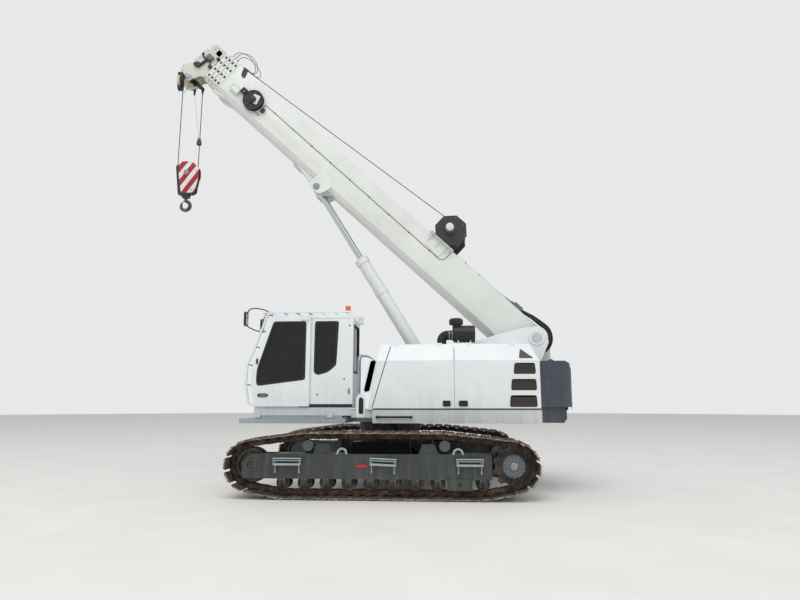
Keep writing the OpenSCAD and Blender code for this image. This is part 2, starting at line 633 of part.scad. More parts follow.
module air_cleaner() color([0.08, 0.08, 0.09]) at_slew() {
  translate([1560, -880, hood_top + seat]) cylinder(r = 75, h = 70, $fn = fine);
  cyl_x(-880, hood_top + 175, 110, 1340, 1760);
  cyl_x(-880, hood_top + 175, 60, 1200, 1345);
  translate([1260, -880, hood_top + seat]) cylinder(r = 58, h = 190, $fn = fine);
  translate([1420, -880, hood_top + 270]) cylinder(r = 60, h = 180, $fn = fine);
  translate([1420, -880, hood_top + 400]) cylinder(r = 100, h = 70, $fn = fine);
}

// cab
rail_w = 12;
cab_y0 = -upper_y + door_t + rail_w + air;
rail_top = cab_top - 30;
cab_y1 = -cab_in;
cab_side = [[-2510, cab_low], [-2580, 2030], [-2560, 2360], [-2400, 2800], [-2215, cab_top - 20], [-2190, cab_top],
  [cab_rear - 60, cab_top], [cab_rear, cab_top - 60], [cab_rear, cab_low]];
cab_room = [[-2445, cab_low + 60], [-2530, 2030], [-2512, 2352], [-2356, 2778], [-2180, cab_top - cab_t],
  [cab_rear - cab_t - 20, cab_top - cab_t], [cab_rear - cab_t, cab_top - 90], [cab_rear - cab_t, cab_low + 60]];
front_win = [[-2450, 1790], [-2700, 1790], [-2700, 3290], [-2090, 3290], [-2260, 2810], [-2430, 2380], [-2450, 2040]];
door_win = [[-2155, 3240], [-1520, 3240], [-1520, 2120], [-2440, 2005], [-2465, 2090], [-2455, 2320], [-2300, 2800]];
side_win = [[-1350, 3245], [-890, 3245], [-930, 2400], [-1080, 2270], [-1280, 2210], [-1355, 2260]];
module cab_shell() color([0.91, 0.93, 0.93]) at_slew() difference() {
  slab(cab_side, cab_y0, cab_y1);
  slab(cab_room, cab_y0 + cab_t, cab_y1 - cab_t);
  // doorway
  slab([[-2440, cab_low + 70], [-2470, 2030], [-2455, 2340], [-2300, 2780], [-2130, cab_top - 110], [door_split - 40, cab_top - 110],
    [door_split - 40, cab_low + 70]], cab_y0 - 10, cab_y0 + cab_t + 10);
  slab(side_win, cab_y0 - 10, cab_y0 + cab_t + 10);
  // inner side window
  slab([[-2200, 3200], [-760, 3200], [-760, 2200], [-2400, 2100], [-2440, 2330]], cab_y1 - cab_t - 10, cab_y1 + 10);
  // windscreen, rear window and roof window
  slab(front_win, cab_y0 + 70, cab_y1 - 70);
  box(cab_rear - cab_t - 10, cab_rear + 10, cab_y0 + 90, cab_y1 - 90, 2250, 3200);
  box(-2050, -1350, cab_y0 + 120, cab_y1 - 120, cab_top - cab_t - 10, cab_top + 10);
}
module cab_glass() color([0.10, 0.13, 0.15, 0.4]) at_slew() {
  // windscreen follows the cab's front
  intersection() {
    difference() {
      slab(cab_side, cab_y0 + 70 + seat, cab_y1 - 70 - seat);
      translate([pane_t, 0, 0]) slab(cab_side, cab_y0, cab_y1);
    }
    slab([[-2449, 1791], [-2700, 1791], [-2700, 3289], [-2100, 3289], [-2000, 3000], [-2300, 1791]], cab_y0, cab_y1);
  }
  box(cab_rear - pane_t - 20, cab_rear - 20, cab_y0 + 90 + seat, cab_y1 - 90 - seat, 2250 + seat, 3200 - seat);
  box(-2050 + seat, -1350 - seat, cab_y0 + 120 + seat, cab_y1 - 120 - seat, cab_top - 20 - pane_t, cab_top - 20);
  intersection() {
    slab([[-2200, 3200 - seat], [-760 - seat, 3200 - seat], [-760 - seat, 2200 + seat], [-2400, 2100 + seat], [-2440, 2330]],
      cab_y1 - 20 - pane_t, cab_y1 - 20);
  }
  slab([[-1350 + seat, 3245 - seat], [-890 - seat, 3245 - seat], [-930 - seat, 2400 + seat], [-1080 - seat, 2270 + seat],
    [-1280, 2210 + seat], [-1355 + seat, 2260 + seat]], cab_y0 + 14, cab_y0 + 14 + pane_t);
}
module cab_door() color([0.91, 0.93, 0.93]) at_slew() {
  y0 = -upper_y;
  difference() {
    slab([[-2495, cab_low + 30], [-2575, 2030], [-2556, 2360], [-2397, 2800], [-2215, cab_top - 35], [door_split, cab_top - 35],
      [door_split, cab_low + 30]], y0, y0 + door_t);
    slab(door_win, y0 - 10, y0 + door_t + 10);
  }
  // handle
  box(-2475, -2445, y0 - 30, y0 + 1, 2420, 2520);
  // hanger blocks that ride on the upper rail, and the shoe on the lower one
  for (x = [-1880, -1600]) {
    box(x, x + 110, y0 + 6, cab_y0 - seat, rail_top + seat, cab_top + 4);
    box(x, x + 110, y0 + 6, y0 + door_t, cab_top - 60, cab_top + 4);
  }
  box(-1580, -1480, y0 + door_t - 1, cab_y0 - rail_w - seat, cab_low + 34, cab_low + 54);
}
module door_glass() color([0.10, 0.13, 0.15, 0.4]) at_slew() {
  y0 = -upper_y;
  slab([[-2155 + seat, 3240 - seat], [-1520 - seat, 3240 - seat], [-1520 - seat, 2120 + seat], [-2440 + seat, 2005 + seat],
    [-2465 + seat, 2090], [-2455 + seat, 2320], [-2300 + seat, 2800]], y0 + 14, y0 + 14 + pane_t);
}
module cab_guard() color([0.88, 0.90, 0.90]) at_slew() {
  // front frame that stands off the windscreen
  line = [[-2300, 3450], [-2450, 3080], [-2560, 2760], [-2710, 2410], [-2722, 2010], [-2645, 1640], [-2535, 1610]];
  back = [[-2275, 3425], [-2412, 3060], [-2520, 2745], [-2668, 2400], [-2680, 2018], [-2610, 1668], [-2535, 1650]];
  for (y = [cab_y0 + 20, cab_y1 - 50])
    slab(concat(line, [for (k = [len(back) - 1 : -1 : 0]) back[k]]), y, y + 30);
  // roof frame
  for (y = [cab_y0 + 20, cab_y1 - 50]) {
    box(-2300, cab_rear - 60, y, y + 30, 3425, 3455);
    box(-2200, -2170, y, y + 30, cab_top + seat, 3426);
    box(cab_rear - 90, cab_rear - 60, y, y + 30, cab_top + seat, 3426);
    slab([[-2534, 1611], [-2560, 1611], [-2560, 1650], [-2526.5, 1650], [-2518.5, 1611]], y, y + 30);
  }
  for (k = [0 : 6]) box(-2280 + k * 255, -2255 + k * 255, cab_y0 + 30, cab_y1 - 30, 3428, 3450);
  for (p = [[-2440, 3072], [-2545, 2752], [-2692, 2405], [-2704, 2014]]) box(p[0], p[0] + 26, cab_y0 + 30, cab_y1 - 30, p[1], p[1] + 22);
}
module cab_fittings() color([0.06, 0.06, 0.07]) at_slew() {
  // mounts under the cab
  for (x = [-2425, -1025]) for (y = [-1370, -760]) translate([x, y, 1520 + seat]) cylinder(r = 45, h = cab_low - 1520 - 2 * seat, $fn = fine);
  // lower and upper guide of the sliding door
  box(-1640, cab_rear, cab_y0 - rail_w, cab_y0 - seat, cab_low + 14, cab_low + 74);
  box(-2180, cab_rear - 60, cab_y0 - rail_w, cab_y0 - seat, rail_top - 34, rail_top);
}
module cab_interior() color([0.14, 0.15, 0.16]) at_slew() {
  yc = (cab_y0 + cab_y1) / 2;
  z0 = cab_low + 60 + seat;
  // seat on its box, two consoles and the front console
  box(-1500, -960, yc - 240, yc + 240, z0, z0 + 380);
  slab([[-1560, z0 + 379], [-1560, z0 + 500], [-1050, z0 + 480], [-950, z0 + 1250], [-850, z0 + 1250], [-930, z0 + 379]], yc - 230, yc + 230);
  for (s = [-1, 1]) slab([[-1750, z0], [-1780, z0 + 560], [-1720, z0 + 640], [-1150, z0 + 640], [-1150, z0]], yc + s * 330 - 60, yc + s * 330 + 60);
  for (s = [-1, 1]) translate([-1690, yc + s * 330, z0 + 639]) cylinder(r = 16, h = 150, $fn = 24);
  slab([[-2430, z0], [-2440, z0 + 420], [-2300, z0 + 700], [-2240, z0 + 700], [-2260, z0]], yc - 110, yc + 110);
}
module lamps() color([0.85, 0.86, 0.86]) at_slew() {
  // work lamp on the cab's rear edge and on its front corner
  box(cab_rear + 30, cab_rear + 130, -1060, -960, 3230, 3380);
  box(cab_rear + seat, cab_rear + 31, -1040, -980, 3260, 3290);
  box(-2410, -2320, cab_y0 + 60, cab_y0 + 150, 3350, 3440);
  box(-2321, -2308, cab_y0 + 90, cab_y0 + 120, 3400, 3470);
  box(-2321, -2260, cab_y0 + 90, cab_y0 + 120, 3450 + seat, 3470);
  // beacon on the roof frame
  translate([-750, -1180, 3450 + seat]) cylinder(r = 62, h = 22, $fn = fine);
  translate([-750, -1180, 3471]) cylinder(r = 52, h = 110, $fn = fine);
}
// boom: local -X runs out along the boom, Z is its upper side ----
function shell_pts(k, inset) =
  let (s = k * (boom_t + boom_gap) + inset, w = boom_w / 2 - s, up = boom_up - s, dn = -boom_down + s, b = boom_bevel - s * 0.4)
  [[-w, dn + b], [-w, up], [w, up], [w, dn + b], [w - b, dn], [-w + b, dn]];
module tube(k, u0, u1) difference() {
  bar(shell_pts(k, 0), -u1, -u0);
  bar(shell_pts(k, boom_t), -u1 - 1, -u0 + 1);
}
module collar(k, u0, u1, out) difference() {
  bar(shell_pts(k, -out), -u1, -u0);
  bar(shell_pts(k, boom_t), -u1 - 1, -u0 + 1);
}
winch_u = 2844;
winch_v = 520;
reel_u = 8256;
reel_v = -222;
module boom_base() color([0.89, 0.89, 0.86]) at_boom() {
  foot_hw = boom_w / 2;
  difference() {
    union() {
      tube(0, 620, base_len);
      collar(0, base_len - 90, base_len, 14);
      // foot cheeks with a round end about the pin
      for (s = [-1, 1]) {
        slab([[-900, -boom_down + boom_bevel], [-620, -boom_down + 60], [-260, -240], [0, -240], [0, boom_up], [-900, boom_up]],
          s * (foot_hw - 20) - 20, s * (foot_hw - 20) + 20);
        cyl_y(0, -10, 225, s * (foot_hw - 20) - 20, s * (foot_hw - 20) + 20);
      }
      cyl_y(0, 0, 130, -slot_y + 10, slot_y - 10);
      box(-640, -20, -foot_hw + 30, foot_hw - 30, boom_up - 20, boom_up);
      slab([[-640, -boom_down], [-620, -boom_down], [-180, -180], [-200, -180]], -foot_hw + 30, foot_hw - 30);
      // lugs of the luffing cylinder
      for (s = [-1, 1]) slab([[-eye_u - 420, -boom_down + 1], [-eye_u - 130, -eye_v - 40], [-eye_u - 60, -eye_v - 105], [-eye_u + 60, -eye_v - 105],
        [-eye_u + 130, -eye_v - 40], [-eye_u + 330, -boom_down + 1]], s * 115 - 20, s * 115 + 20);
    }
    cyl_y(0, 0, pivot_r + run_clear, -slot_y - 10, slot_y + 10);
    for (s = [-1, 1]) cyl_y(-eye_u, -eye_v, eye_pin_r - 1, s * 115 - 60, s * 115 + 60);
  }
  // pin of the cylinder's eye
  cyl_y(-eye_u, -eye_v, eye_pin_r, -150, 150);
  // rope guide lug and lamp box
  slab([[-6700, -boom_down + 1], [-6640, -boom_down - 90], [-6420, -boom_down - 90], [-6300, -boom_down + 1]], -40, 40);
  box(-8925, -8675, -boom_w / 2 - 70, -boom_w / 2 + 1, -370, -210);
  // bracket and stub of the cable reel
  box(-reel_u - 300, -reel_u + 60, -boom_w / 2 - 28, -boom_w / 2 + 1, reel_v - 50, reel_v + 50);
  cyl_y(-reel_u, reel_v, 28, -boom_w / 2 - 140, -boom_w / 2 - 27);
}
module boom_section_2() color([0.87, 0.87, 0.84]) at_boom() {
  tube(1, 900, base_len + collar_step);
  collar(1, base_len + air, base_len + collar_step - 12, boom_gap + boom_t + 16);
  pads(1, base_len);
}
module boom_section_3() color([0.87, 0.87, 0.84]) at_boom() {
  tube(2, 1000, base_len + 2 * collar_step);
  collar(2, base_len + collar_step + air, base_len + 2 * collar_step - 12, 2 * (boom_gap + boom_t) + 16);
  pads(2, base_len + collar_step);
}
module boom_section_4() color([0.87, 0.87, 0.84]) at_boom() {
  tube(3, 1100, base_len + 3 * collar_step + 10);
  collar(3, base_len + 2 * collar_step + air, base_len + 3 * collar_step, 3 * (boom_gap + boom_t) + 16);
  pads(3, base_len + 2 * collar_step);
}
// slide pads between a section and the one around it: at its rear end and in the mouth
module pads(k, mouth) {
  s = k * (boom_t + boom_gap);
  u0 = 900 + 100 * (k - 1);
  for (y = [-1, 1]) {
    box(-u0 - 220, -u0 - 20, y * (boom_w / 2 - s) - (y < 0 ? boom_gap - seat : 1), y * (boom_w / 2 - s) + (y < 0 ? 1 : boom_gap - seat), -250, -150);
    box(-u0 - 220, -u0 - 20, y * 150 - 60, y * 150 + 60, boom_up - s - 1, boom_up - s + boom_gap - seat);
  }
}
module boom_head() color([0.88, 0.88, 0.85]) at_boom() {
  u0 = base_len + 3 * collar_step + 10 + seat;
  w = boom_w / 2 - 3 * (boom_t + boom_gap);
  difference() {
    union() {
      // end frame of the last section
      bar(shell_pts(3, -40), -u0 - 40, -u0);
      // side plates of the head
      for (s = [-1, 1]) slab([[-u0, boom_up - 100], [-u0 - 420, boom_up - 100], [-head_u - 160, -head_v + 380], [-head_u - 150, -head_v + 60],
        [-head_u - 60, -head_v - 120], [-head_u + 80, -head_v - 130], [-head_u + 330, -boom_down - 40], [-u0, -boom_down + 110]],
        s * 170 - 14, s * 170 + 14);
      box(-u0 - 400, -u0 - 20, -170, 170, boom_up - 130, boom_up - 100);
      box(-head_u - 20, -head_u + 330, -170, 170, -head_v + 330, -head_v + 350);
      // top block of the head
      box(-u0 - 400, -u0 - 180, -90, 90, boom_up - 101, boom_up + 60);
    }
    cyl_y(-head_u, -head_v, 45 - 1, -220, 220);
  }
  cyl_y(-head_u, -head_v, 45, -200, 200);
}
module head_sheave() color([0.10, 0.10, 0.11]) at_boom() {
  translate([-head_u, 0, -head_v]) rotate([90, 0, 0]) rotate_extrude($fn = fine)
    polygon([[45 + run_clear, -sheave_t / 2], [95, -sheave_t / 2], [95, -12], [groove_r - 40, -12], [groove_r - 24, -sheave_t / 2],
      [sheave_r, -sheave_t / 2], [sheave_r, -sheave_t / 2 + 6], [groove_r, -rope_r], [groove_r, rope_r], [sheave_r, sheave_t / 2 - 6],
      [sheave_r, sheave_t / 2], [groove_r - 24, sheave_t / 2], [groove_r - 40, 12], [95, 12], [95, sheave_t / 2], [45 + run_clear, sheave_t / 2]]);
}
module winch_frame() color([0.83, 0.84, 0.83]) at_boom() {
  for (s = [-1, 1]) difference() {
    union() {
      slab([[-winch_u - 520, boom_up - 160], [-winch_u - 470, boom_up + 40], [-winch_u - 230, winch_v - 60], [-winch_u + 230, winch_v - 60],
        [-winch_u + 430, boom_up - 160]], s * (boom_w / 2 + 14) - 14 + seat * s, s * (boom_w / 2 + 14) + 14 + seat * s);
      cyl_y(-winch_u, winch_v, 330, s * (boom_w / 2 + 30) - 30, s * (boom_w / 2 + 30) + 30);
    }
    cyl_y(-winch_u, winch_v, 60 + run_clear, s * 300 - 95, s * 300 + 95);
    // clear of the boom's top corner
    box(-winch_u - 600, -winch_u + 600, -boom_w / 2 - seat, boom_w / 2 + seat, 0, boom_up + seat);
  }
  for (s = [-1, 1]) cyl_y(-winch_u, winch_v, 150, s * (boom_w / 2 + 90) - 32, s * (boom_w / 2 + 90) + 32);
}
module winch_drum() color([0.20, 0.21, 0.22]) at_boom() {
  cyl_y(-winch_u, winch_v, 60, -boom_w / 2 - 10, boom_w / 2 + 10);
  cyl_y(-winch_u, winch_v, 255, -boom_w / 2 + 40, boom_w / 2 - 40);
  for (s = [-1, 1]) cyl_y(-winch_u, winch_v, 298, s * (boom_w / 2 - 28) - 14, s * (boom_w / 2 - 28) + 14);
}
module cable_reel() color([0.06, 0.06, 0.07]) at_boom() {
  difference() {
    union() {
      cyl_y(-reel_u, reel_v, 240, -boom_w / 2 - 60, -boom_w / 2 - 40);
      cyl_y(-reel_u, reel_v, 200, -boom_w / 2 - 100, -boom_w / 2 - 59);
      cyl_y(-reel_u, reel_v, 240, -boom_w / 2 - 120, -boom_w / 2 - 99);
      cyl_y(-reel_u, reel_v, 80, -boom_w / 2 - 165, -boom_w / 2 - 119);
    }
    cyl_y(-reel_u, reel_v, 28 + run_clear, -boom_w / 2 - 145, -boom_w / 2 - 20);
  }
}

// luffing cylinder: drawn along its own axis from foot pin to eye ----
module at_luff() translate([slew_x + foot_x, 0, foot_z]) rotate([0, luff_angle - 180, 0]) children();
module luff_barrel() color([0.86, 0.87, 0.86]) at_luff() {
  difference() {
    union() {
      cyl_x(0, 0, barrel_r, 130, barrel_len - 120);
      cyl_x(0, 0, barrel_r + 16, barrel_len - 130, barrel_len);
      cyl_x(0, 0, barrel_r + 12, 2430, 2500);
      cyl_x(0, 0, 120, 60, 135);
      cyl_y(0, 0, 118, -150, 150);
    }
    cyl_x(0, 0, barrel_r - 22, 220, barrel_len - 200);
    cyl_x(0, 0, rod_r + run_clear, barrel_len - 260, barrel_len + 10);
    cyl_y(0, 0, eye_pin_r + 2, -160, 160);
  }
}
module luff_rod() color([0.78, 0.80, 0.82]) at_luff() {
  l = luff_len;
  difference() {
    union() {
      cyl_x(0, 0, rod_r, 1640, l - 60);
      cyl_x(0, 0, barrel_r - 22 - run_clear, 1620, 1780);
      cyl_y(l, 0, 100, -90, 90);
    }
    cyl_y(l, 0, eye_pin_r + run_clear, -100, 100);
  }
}

// hook
anchor_drop = 330;
module hoist_falls() color([0.20, 0.20, 0.21]) at_slew() {
  translate([fall_front, 0, block_z]) cylinder(r = rope_r - seat, h = fall_len, $fn = 16);
  translate([fall_rear, 0, block_z]) cylinder(r = rope_r - seat, h = head_z - anchor_drop - 40 - seat - block_z, $fn = 16);
}
// link that hangs on the head sheave's axle and holds the rope's dead end
module rope_anchor() color([0.42, 0.43, 0.44]) at_slew() {
  for (s = [-1, 1]) difference() {
    slab([[head_x - 62, head_z + 20], [head_x, head_z + 66], [head_x + 66, head_z + 20], [fall_rear + 28, head_z - anchor_drop + 20],
      [fall_rear + 10, head_z - anchor_drop - 28], [fall_rear - 28, head_z - anchor_drop - 10], [head_x - 30, head_z - 62]],
      s * 44 - 8, s * 44 + 8);
    cyl_y(head_x, head_z, 45 + run_clear, s * 44 - 20, s * 44 + 20);
  }
  cyl_y(fall_rear, head_z - anchor_drop, 14, -52, 52);
  translate([fall_rear, 0, head_z - anchor_drop - 40]) cylinder(r1 = 15, r2 = 24, h = 66, $fn = fine);
}
module hook_block() color([0.90, 0.88, 0.87]) at_slew() {
  plate = [[block_x - 190, block_z + 235], [block_x + 40, block_z + 245], [block_x + 245, block_z + 100], [block_x + 262, block_z - 90],
    [block_x + 190, block_z - 480], [block_x - 80, block_z - 500], [block_x - 235, block_z + 20]];
  for (s = [-1, 1]) difference() {
    slab(plate, s * 62 - 12, s * 62 + 12);
    cyl_y(block_x, block_z, 39, s * 62 - 30, s * 62 + 30);
  }
  cyl_y(block_x, block_z, 40, -90, 90);
  box(block_x - 180, block_x + 180, -85, 85, block_z - 540, block_z - 470);
  for (s = [-1, 1]) box(block_x - 90, block_x + 90, s * 74 - 11, s * 74 + 11, block_z - 650, block_z - 539);
  difference() {
    box(block_x - 90, block_x + 90, -64, 64, block_z - 650, block_z - 600);
    translate([block_x, 0, block_z - 700]) cylinder(r = hook_r + run_clear, h = 200, $fn = fine);
  }
}
module block_sheave() color([0.12, 0.12, 0.13]) at_slew() {
  translate([block_x, 0, block_z]) rotate([90, 0, 0]) rotate_extrude($fn = fine)
    polygon([[40 + run_clear, -22], [90, -22], [90, -10], [block_r - 26, -10], [block_r - 10, -22], [block_r + 22, -22], [block_r, -rope_r],
      [block_r, rope_r], [block_r + 22, 22], [block_r - 10, 22], [block_r - 26, 10], [90, 10], [90, 22], [40 + run_clear, 22]]);
}
module hook() color([0.35, 0.24, 0.18]) at_slew() {
  z = block_z - 860;
  translate([block_x, 0, z + 120]) cylinder(r = hook_r, h = 180, $fn = fine);
  translate([block_x, 0, block_z - 600 + seat]) cylinder(r = 54, h = 44, $fn = fine);
  translate([block_x, 0, z]) rotate([90, 0, 0]) rotate([0, 0, -30]) rotate_extrude(angle = 300, $fn = fine)
    translate([95, 0]) circle(r = 38, $fn = 24);
}

carbody();
track_frame_left();
track_frame_right();
track_left();
track_right();
rollers_left();
rollers_right();
tumblers();
final_drives();
side_steps();
upper_frame();
counterweight();
engine_block();
hood_left();
hood_right();
flap_left_front();
flap_left_rear();
flap_right_front();
flap_right_rear();
walkway();
air_cleaner();
cab_shell();
cab_glass();
cab_door();
door_glass();
cab_guard();
cab_fittings();
cab_interior();
lamps();
boom_base();
winch_frame();
winch_drum();
cable_reel();
boom_section_2();
boom_section_3();
boom_section_4();
boom_head();
head_sheave();
luff_barrel();
luff_rod();
rope_anchor();
hoist_falls();
hook_block();
block_sheave();
hook();
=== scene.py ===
# %% [markdown]
# # A telescopic crawler crane
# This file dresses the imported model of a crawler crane. Text above the cells says what a piece is on the
# real machine and how it is made here. Shapes are surfaces worked out as whole arrays, and each finish is a
# small network of nodes.

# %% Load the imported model
import math
import json
import numpy as np
import bpy
import bmesh
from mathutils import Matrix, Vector

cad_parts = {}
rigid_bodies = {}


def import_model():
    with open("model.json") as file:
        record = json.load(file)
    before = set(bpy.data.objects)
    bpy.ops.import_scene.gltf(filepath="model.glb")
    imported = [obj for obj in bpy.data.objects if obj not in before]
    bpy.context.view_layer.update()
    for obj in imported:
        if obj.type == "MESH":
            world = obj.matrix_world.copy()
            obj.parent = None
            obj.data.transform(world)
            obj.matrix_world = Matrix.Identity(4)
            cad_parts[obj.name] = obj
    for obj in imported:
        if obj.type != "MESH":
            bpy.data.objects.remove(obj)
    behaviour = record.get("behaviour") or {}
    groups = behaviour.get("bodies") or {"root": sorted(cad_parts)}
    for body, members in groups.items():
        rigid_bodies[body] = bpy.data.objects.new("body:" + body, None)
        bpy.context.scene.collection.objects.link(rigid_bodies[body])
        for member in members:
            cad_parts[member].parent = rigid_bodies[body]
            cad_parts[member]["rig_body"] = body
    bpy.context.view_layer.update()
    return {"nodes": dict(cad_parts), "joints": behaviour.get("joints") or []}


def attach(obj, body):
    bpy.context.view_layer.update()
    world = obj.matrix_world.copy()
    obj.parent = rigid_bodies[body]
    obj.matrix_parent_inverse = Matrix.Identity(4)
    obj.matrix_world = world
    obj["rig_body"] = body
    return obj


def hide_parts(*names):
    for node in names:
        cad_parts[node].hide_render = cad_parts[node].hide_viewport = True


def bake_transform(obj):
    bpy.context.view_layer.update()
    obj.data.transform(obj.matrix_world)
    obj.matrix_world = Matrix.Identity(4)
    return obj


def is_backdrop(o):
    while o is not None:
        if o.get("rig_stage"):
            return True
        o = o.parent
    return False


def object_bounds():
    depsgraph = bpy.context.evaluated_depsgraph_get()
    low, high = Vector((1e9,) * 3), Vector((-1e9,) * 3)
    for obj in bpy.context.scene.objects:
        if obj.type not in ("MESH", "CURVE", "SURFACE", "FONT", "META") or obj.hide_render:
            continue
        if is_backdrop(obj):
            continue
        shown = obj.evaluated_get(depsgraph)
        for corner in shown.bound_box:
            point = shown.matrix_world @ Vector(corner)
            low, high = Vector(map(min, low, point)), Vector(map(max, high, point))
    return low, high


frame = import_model()

# %% [markdown]
# Places on the machine come from its own joints. The slewing axis gives the middle of the tracks, and the
# boom's foot pin with the boom's angle gives a second set of axes: u runs out along the boom and v stands
# up from it.

# %% Places on the machine
JOINT = {j["name"]: j for j in frame["joints"]}
SLEW = JOINT["slew"]["pos_m"][0]
FOOT = np.array(JOINT["luff"]["pos_m"])
OUT = np.array(JOINT["telescope"]["axis"])
UP = np.array([OUT[2], 0.0, -OUT[0]])
SIDES = (("left", -1.0), ("right", 1.0))
# Distances from the middle at which small parts sit on a face. The last part of a millimetre keeps two
# surfaces from lying in one plane.
ON_FRAME, ON_SILL, ON_FLAP, CAB_SIDE = 2.0203, 1.5003, 1.5086, 1.444
HEAD = np.array(JOINT["head_sheave_spin"]["pos_m"])
BLOCK = np.array(JOINT["block_sheave_spin"]["pos_m"])


def on_boom(u, v, y):
    """Point at u metres out along the boom, v metres above the foot pin's line and y metres to the side."""
    u, v, y = np.broadcast_arrays(np.asarray(u, float), np.asarray(v, float), np.asarray(y, float))
    return FOOT + u[..., None] * OUT + v[..., None] * UP + y[..., None] * np.array([0.0, 1.0, 0.0])


def boom_points(points):
    """The same for a list of (u, v, y)."""
    return [on_boom(*p) for p in points]


def at_slew(points):
    """Points, or an outline in x and z, measured from the slewing axis and moved to the model's own
    origin."""
    p = np.array(points, float)
    p[..., 0] += SLEW
    return p


print("slewing axis at x =", round(SLEW, 4), "boom rises", round(math.degrees(math.asin(OUT[2])), 2),
    "degrees")

# %% [markdown]
# ## The camera first
# The photograph was taken from standing height with a wide lens, a little to the left of the slewing axis
# and tilted up to take in the boom's head. A 27 mm lens on a 36 mm sensor has the same spread.

# %% Camera
scene = bpy.context.scene
lens = bpy.data.cameras.new("camera")
lens.lens = 27.0
lens.sensor_width = 36.0
lens.clip_end = 200.0
camera = bpy.data.objects.new("camera", lens)
camera.location = (1.112 + SLEW, -12.94, 1.683)
TILT, TURN = 9.7, 4.0
camera.rotation_euler = (math.radians(90 + TILT), 0.0, math.radians(TURN))
scene.collection.objects.link(camera)
scene.camera = camera

# %% [markdown]
# ## Materials
# Colours are written as sRGB hex, the way a paint chart gives them, and one function turns them into the
# linear numbers that the shader adds light in. Two more functions add a node with its settings and link its
# sockets.

# %% Colour and node helpers
def linear(text):
    """Hex sRGB to linear: below 0.04045 the value is divided by 12.92, above it (c + 0.055) / 1.055 is
    raised to 2.4."""
    c = np.array([int(text[i:i + 2], 16) for i in (1, 3, 5)]) / 255.0
    return (*np.where(c <= 0.04045, c / 12.92, ((c + 0.055) / 1.055) ** 2.4), 1.0)


def join(tree, node, **links):
    """Links a node's sockets, named with _ for a space, or as _ and a number, to outputs or to other nodes'
    first outputs."""
    for key, value in links.items():
        name = key.replace("_", " ")
        socket = node.inputs[name if name in node.inputs.keys() else int(key[1:])]
        tree.links.new(getattr(value, "outputs", [value])[0], socket)


def add(tree, kind, settings=None, **links):
    """Adds one shader node. Settings name its properties or sockets, and links are made as in join."""
    node = tree.nodes.new("ShaderNode" + kind)
    for key, value in (settings or {}).items():
        if key in node.inputs.keys():
            node.inputs[key].default_value = value
        else:
            setattr(node, key, value)
    join(tree, node, **links)
    return node


def ramp(tree, factor, stops):
    """A colour ramp with stops given as (place, hex)."""
    node = add(tree, "ValToRGB", None, Fac=factor)
    band = node.color_ramp
    while len(band.elements) < len(stops):
        band.elements.new(0.5)
    for element, (place, text) in zip(band.elements, stops):
        element.position = place
        element.color = linear(text)
    return node


def new_material(name, **sockets):
    """A material with plain numbers set on its shader's own sockets, and the object's own coordinates,
    which place every pattern."""
    material = bpy.data.materials.new(name)
    material.use_nodes = True
    tree = material.node_tree
    shader = tree.nodes["Principled BSDF"]
    for key, value in sockets.items():
        shader.inputs[key.replace("_", " ")].default_value = value
    return material, tree, shader, add(tree, "TexCoord").outputs["Object"]

# %% [markdown]
# ### Sprayed two-layer paint
# The machine's panels are steel sheet, sprayed white. Seen close, such paint has an orange-peel surface
# with cells of about 3 mm, and the tone drifts a little over a metre. Dust gathers in soft clouds, more of
# it low down.

# %% Paint
def paint(name, tone, shade, rough, dust="#8d8577", low=(0.0, 0.0, 0.0)):
    """Clouds at two sizes mix tone and shade, dust covers low[2] of the surface below the height low[0] to
    low[1] metres."""
    material, tree, shader, place = new_material(name, Roughness=rough, IOR=1.5, Coat_Weight=0.25,
        Coat_Roughness=0.12)
    cloud = add(tree, "TexNoise", {"Scale": 1.3, "Detail": 5.0, "Roughness": 0.6}, Vector=place)
    colour = ramp(tree, cloud, [(0.35, shade), (0.62, tone)])
    stretched = add(tree, "Mapping", {"Scale": (9.0, 9.0, 0.8)}, Vector=place)
    streak = add(tree, "TexNoise", {"Scale": 1.0, "Detail": 6.0, "Roughness": 0.65}, Vector=stretched)
    height = add(tree, "SeparateXYZ", None, Vector=place).outputs["Z"]
    fall = add(tree, "MapRange", {"From Min": low[1], "From Max": low[0], "To Min": 0.015,
        "To Max": max(low[2], 0.015)}, Value=height)
    spots = add(tree, "MapRange", {"From Min": 0.45, "From Max": 0.75}, Value=streak)
    amount = add(tree, "Math", {"operation": "MULTIPLY"}, _0=fall, _1=spots)
    mixed = add(tree, "Mix", {"data_type": "RGBA"}, _0=amount, _6=colour)
    mixed.inputs[7].default_value = linear(dust)
    peel = add(tree, "TexNoise", {"Scale": 330.0, "Detail": 2.0}, Vector=place)
    bump = add(tree, "Bump", {"Strength": 0.04, "Distance": 0.002}, Height=peel)
    join(tree, shader, Base_Color=mixed.outputs[2], Normal=bump)
    return material


WHITE = paint("sprayed white paint", "#eceff0", "#e4e8ea", 0.32, low=(1.5, 2.3, 0.18))
BOOM_WHITE = paint("sprayed boom paint", "#e6e9e5", "#dde0da", 0.36)
# A darker beige copy of the boom paint. It paints the shade that the head lies in when seen from below.
HEAD_SHADE_PAINT = paint("weathered boom paint", "#d3d2c9", "#c3c1b6", 0.45)
SILL = paint("sprayed light grey paint", "#cfd3d4", "#c3c8ca", 0.4, low=(1.3, 1.6, 0.5))
SLATE = paint("sprayed slate grey paint", "#3d4550", "#353c46", 0.42, low=(1.3, 2.4, 0.3))
FRAME = paint("sprayed dark grey paint", "#373e3d", "#2a302f", 0.5, dust="#746d61", low=(0.2, 1.3, 0.6))
DARK = paint("sprayed black chassis paint", "#2b2d2f", "#222426", 0.5, dust="#6f695f", low=(0.3, 1.6, 0.4))

